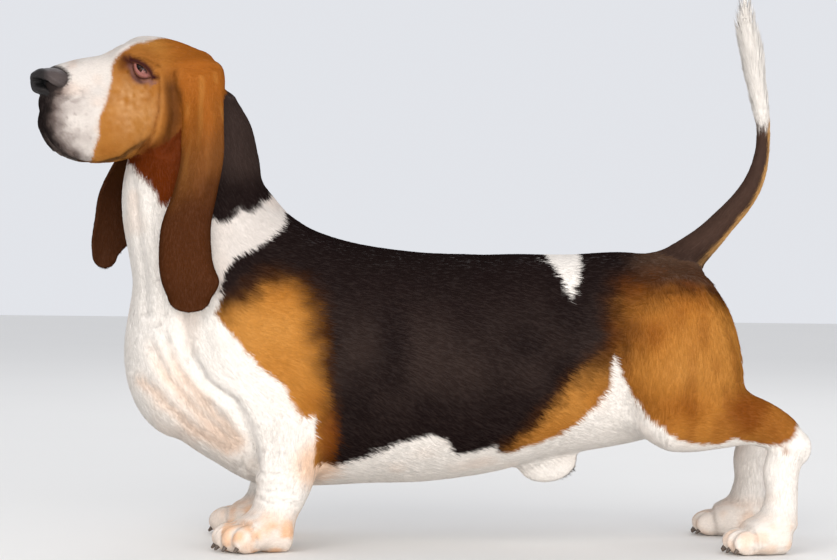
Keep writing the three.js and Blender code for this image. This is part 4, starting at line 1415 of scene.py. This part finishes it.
def lie_of(points, normals, owner):
    """The way the hair lies: back along head and trunk, down neck, ears and legs, out along the tail."""
    lie = np.zeros((len(points), 3))
    for i, leaf in enumerate(leaves):
        part = owner == i
        if part.any():
            lie[part] = leaf.lie(points[part])
    region = REGIONS[owner]
    neck = region == "neck"
    lie[neck] = -lie[neck] + (0.25, 0, 0)
    head = region == "head"
    h = to_head(points[head])
    back = from_head(np.array([[-1.0, 0, 0]])) - from_head(np.array([[0.0, 0, 0]]))
    lie[head] = back + np.array([0, 0, -1.0]) * (0.25 + 0.9 * smoothstep(495, 440, h[:, 2]))[:, None]
    trunk = region == "trunk"
    x = points[trunk, 0]
    down = 0.25 + 1.4 * smoothstep(-150, -260, x) + 0.5 * smoothstep(230, 120, points[trunk, 2])
    lie[trunk] = np.array([1.0, 0, 0]) + np.array([0, 0, -1.0]) * down[:, None]
    lie = lie + 0.1 * noises(points, 25, 21, 22, 23)
    free = looseness(points, region)
    lie += normals * (0.12 * free)[:, None]
    lie -= normals * ((lie * normals).sum(1) * (1 - free))[:, None]
    return unit(lie, 1e-3)


# Pieces of the coat: name, the regions that it covers, and how many tufts it has.
COAT_PIECES = [
    ("coat_trunk_left", ["trunk"], -1, 48000),
    ("coat_trunk_right", ["trunk"], 1, 48000),
    ("coat_neck", ["neck"], 0, 36000),
    ("coat_head_left", ["head"], -1, 42000),
    ("coat_head_right", ["head"], 1, 42000),
    ("coat_ears", ["left_ear", "right_ear"], 0, 46000),
    ("coat_fore", ["left_fore", "right_fore"], 0, 30000),
    ("coat_hind", ["left_thigh", "right_thigh", "left_hind", "right_hind"], 0, 48000),
    ("coat_tail", ["tail"], 0, 9000),
]


def tufts(mesh, owner, hairless):
    """Each piece's tufts: roots strewn evenly over the skin's triangles, and on each a thin pointed
    tuft of four faces, its back raised by half its width and its tip lying a lift above the skin."""
    mesh.calc_loop_triangles()
    count = len(mesh.loop_triangles)
    corners = np.empty(count * 3, np.int32)
    mesh.loop_triangles.foreach_get("vertices", corners)
    corners = corners.reshape(-1, 3)
    co, normal = to_dog(vertex_rows(mesh)), vertex_rows(mesh, "normal")
    first, second, third = (co[corners[:, k]] for k in range(3))
    area = np.linalg.norm(np.cross(second - first, third - first), axis=1)
    lead = owner[corners[:, 0]]
    region = REGIONS[lead]
    length, width, _ = coat_length(first, lead)
    want = area / (length * width) * (1 - hairless[corners].max(1))
    finish = hair_finish()
    for name, regions, side, most in COAT_PIECES:
        share = want * np.isin(region, regions)
        if side:
            share = share * (first[:, 1] * side > 0)
        picked = seed.choice(count, most, p=share / share.sum())
        weight = seed.dirichlet((1, 1, 1), most)
        root = (co[corners[picked]] * weight[..., None]).sum(1)
        n = (normal[corners[picked]] * weight[..., None]).sum(1)
        make_tufts(name, root, unit(n), lead[picked], finish)


def make_tufts(name, root, n, owner, finish):
    """Tufts at the roots: a tip set off along the lie and brought back over the skin, except on the tail's
    brush, which stands free. They are shaded with the skin's normal where they lie flat on it."""
    length, width, lift = coat_length(root, owner)
    size = seed.uniform(0.75, 1.2, len(root))
    jitter = seed.normal(0, 0.6, len(root))
    length, lift = length * size, lift * size * seed.uniform(0.7, 1.3, len(root))
    along = lie_of(root, n, owner)
    across = unit(np.cross(n, along), 1e-3)
    along = unit(along + across * seed.normal(0, 0.1, len(root))[:, None])
    height = relief(root)
    lean = np.abs(relief(root + along * length[:, None]) - height) / length
    length = length / (1 + 6 * lean)
    tip = root + along * length[:, None]
    above = flesh(root) - height
    rise = np.clip(relief(tip) + above - flesh(tip), -0.3 * length, 0.3 * length)
    free = looseness(root, REGIONS[owner])
    tip = tip + n * (rise * (1 - free) + lift)[:, None]
    way = unit(tip - root)
    steep = (way * n).sum(1, keepdims=True)
    up = unit(n - way * steep)
    half = across * (width * 0.5)[:, None]
    sink = n * TUFT_SINK
    ridge = root + RIDGE_AT * (tip - root) + up * (RIDGE_HEIGHT * width)[:, None]
    points = np.stack([root - half - sink, root + half - sink, ridge, tip], 1)
    points[..., 2] = np.maximum(points[..., 2], HAIR_FLOOR)
    base = np.arange(len(root))[:, None, None] * 4
    faces = (base + np.array([[0, 2, 1], [1, 2, 3], [3, 2, 0], [0, 1, 3]])).reshape(-1, 3)
    piece = new_piece(name, points.reshape(-1, 3), faces, finish)
    colour = coat_colour(root, owner, jitter)
    colour = colour * seed.uniform(0.9, 1.08, len(root))[:, None]
    set_colour(piece.data, "coat", np.repeat(np.clip(colour, 0, 1), 4, 0))
    light = colour.mean(1)
    set_value(piece.data, "rough", np.repeat(0.6 + 0.15 * smoothstep(0.02, 0.3, light), 4))
    bake_map(piece.data, root, owner)
    soft = np.where(np.abs(steep) < 0.5, unit(up + way * 0.25), 0)
    piece.data.normals_split_custom_set_from_vertices(np.repeat(soft, 4, 0).tolist())


def bake_map(mesh, root, owner):
    """OFBake: each body of the flesh has its own cell of the map, unrolled by the way along and round it,
    and each tuft is a patch 0.003 across at its root's place there."""
    kinds = np.unique(owner)
    across = math.ceil(math.sqrt(len(kinds)))
    uv = np.zeros((len(root), 2))
    for i, kind in enumerate(kinds):
        part = owner == kind
        v, u = leaves[kind].chart(root[part])
        uv[part] = (np.stack([u, v], 1) * 0.94 + 0.03 + (i % across, i // across)) / across
    patch = np.array([(-1, -1), (1, -1), (0, 0), (0, 1)]) * PATCH_HALF
    corners = np.empty(len(mesh.loops), np.int32)
    mesh.loops.foreach_get("vertex_index", corners)
    layer_uv = mesh.uv_layers.new(name="OFBake")
    layer_uv.data.foreach_set("uv", (uv[corners // 4] + patch[corners % 4]).astype(np.float32).ravel())


def thinned(mesh):
    """The mesh with its flattest faces merged until it has SKIN_FACES triangles."""
    whole = linked("whole_skin", mesh)
    mesh.calc_loop_triangles()
    merge = whole.modifiers.new("merge", "DECIMATE")
    merge.ratio = min(1.0, SKIN_FACES / len(mesh.loop_triangles))
    result = bpy.data.meshes.new_from_object(whole.evaluated_get(bpy.context.evaluated_depsgraph_get()))
    bpy.data.objects.remove(whole)
    return result


def make_skin():
    """The one skin, coloured, with its folds, lips and lids, thinned where it is flat."""
    points, quads = skin_net()
    mesh, points = refined(points, quads)
    _, grad = slope(points)
    points = detailed(points, unit(grad, 1e-3))
    points[:, 2] = np.maximum(points[:, 2], SKIN_FLOOR)
    mesh.vertices.foreach_set("co", to_part(points).ravel())
    mesh.update()
    mesh = thinned(mesh)
    mesh.polygons.foreach_set("use_smooth", np.ones(len(mesh.polygons), bool))
    mesh.name = "skin"
    points = to_dog(vertex_rows(mesh))
    owner = owners_of(points)
    set_colour(mesh, "coat", coat_colour(points, owner, np.zeros(len(points))))
    separate = {"nose", "left_eye", "right_eye"} | {name for name in nodes if "claw" in name}
    placed("skin", mesh, skin_finish(), [name for name in nodes if name not in separate])
    return mesh, points, owner


def bare_of(points):
    """1 where no hair grows: in the eyes, on the lips' edge, and under the nose's leather."""
    h = to_head(points)
    mirrored = folded(h)
    bare = smoothstep(3.5, 2.5, line_distance(mirrored, LIP))
    bare = np.maximum(bare, smoothstep(1.0, -0.5, NOSE_FORM.distance(points)))
    for mirror in (1, -1):
        q = eye_frame(h, mirror)[0]
        opening = eye_opening(h, mirror)[0]
        bare = np.maximum(bare, (opening > -1.6) * (np.linalg.norm(q, axis=1) < 20))
    return bare


def make_camera():
    """The photograph's camera: its lens gives the scale on the midline, and its pitch the horizon's row."""
    data = bpy.data.cameras.new("camera")
    data.sensor_width = SENSOR_WIDTH
    data.lens = CAMERA_DISTANCE / MM_PER_PIXEL / PICTURE[0] * SENSOR_WIDTH
    camera = linked("camera", data)
    bpy.context.scene.camera = camera
    back = (-math.sin(CAMERA_AZIMUTH), -math.cos(CAMERA_AZIMUTH))
    place = (back[0] * CAMERA_DISTANCE, back[1] * CAMERA_DISTANCE, CAMERA_HEIGHT)
    pitch = math.atan((PICTURE[1] / 2 - HORIZON_ROW) * MM_PER_PIXEL / CAMERA_DISTANCE)
    heading = Matrix.Rotation(-CAMERA_AZIMUTH, 4, "Z")
    tilt = Matrix.Rotation(math.pi / 2 - pitch, 4, "X")
    roll = Matrix.Rotation(CAMERA_ROLL, 4, "Z")
    camera.matrix_world = Matrix.Translation(to_part(place)) @ heading @ tilt @ roll


def area_light(name, place, target, size, power, colour):
    """A square light at a place, facing its target."""
    data = bpy.data.lights.new(name, "AREA")
    data.shape, data.size, data.energy, data.color = "SQUARE", size, power, colour
    light = linked(name, data)
    light.location = place
    away = Vector(place) - Vector(target)
    light.rotation_mode = "QUATERNION"
    light.rotation_quaternion = away.to_track_quat("Z", "Y")


# Lights, in metres and watts: name, place, aim, size, power, colour.
LIGHTS = [
    ("key", (-1.5, -2.8, 2.4), (0, 0, 0.25), 1.8, 40, (1, 0.97, 0.93)),
    ("front", (0.2, -3.6, 0.35), (0, 0, 0.12), 2.0, 76, (1, 0.98, 0.96)),
    ("fill", (1.9, -3.0, 0.4), (0, 0, 0.15), 1.8, 42, (1, 0.98, 0.96)),
    ("rim", (0.6, 2.2, 2.2), (0, 0, 0.3), 1.5, 12, (1, 1, 1)),
]
FLOOR_HALF = 6
SKY_COLOUR = (0.93, 0.95, 1.0, 1)
SKY_STRENGTH = 0.82


def make_studio():
    """A pale floor and a soft sky, with a key light from the camera's upper left, a low light in front, a
    fill from the right and a faint light from behind."""
    plane = bpy.data.meshes.new("floor")
    corners = [(x * FLOOR_HALF, y * FLOOR_HALF, 0) for x, y in ((-1, -1), (1, -1), (1, 1), (-1, 1))]
    plane.from_pydata(corners, [], [(0, 1, 2, 3)])
    finish = Finish("pale_floor", Roughness=0.8)
    finish.feed("Base Color", finish.mixed(finish.noise(3.0), (0.78, 0.77, 0.75, 1), (0.8, 0.79, 0.77, 1)))
    plane.materials.append(finish.material)
    floor = linked("floor", plane)
    for light in LIGHTS:
        area_light(*light)
    world = bpy.data.worlds.new("studio")
    world.use_nodes = True
    background = world.node_tree.nodes["Background"]
    background.inputs["Color"].default_value = SKY_COLOUR
    background.inputs["Strength"].default_value = SKY_STRENGTH
    bpy.context.scene.world = world
    bpy.context.scene.view_settings.view_transform = "Standard"


make_camera()
make_studio()
skin_mesh, skin_points, skin_owner = make_skin()
make_nose()
eye_wet = eye_finish()
for mirror in (1, -1):
    make_eye(mirror, eye_wet)
make_claws(claw_finish())
tufts(skin_mesh, skin_owner, bare_of(skin_points))
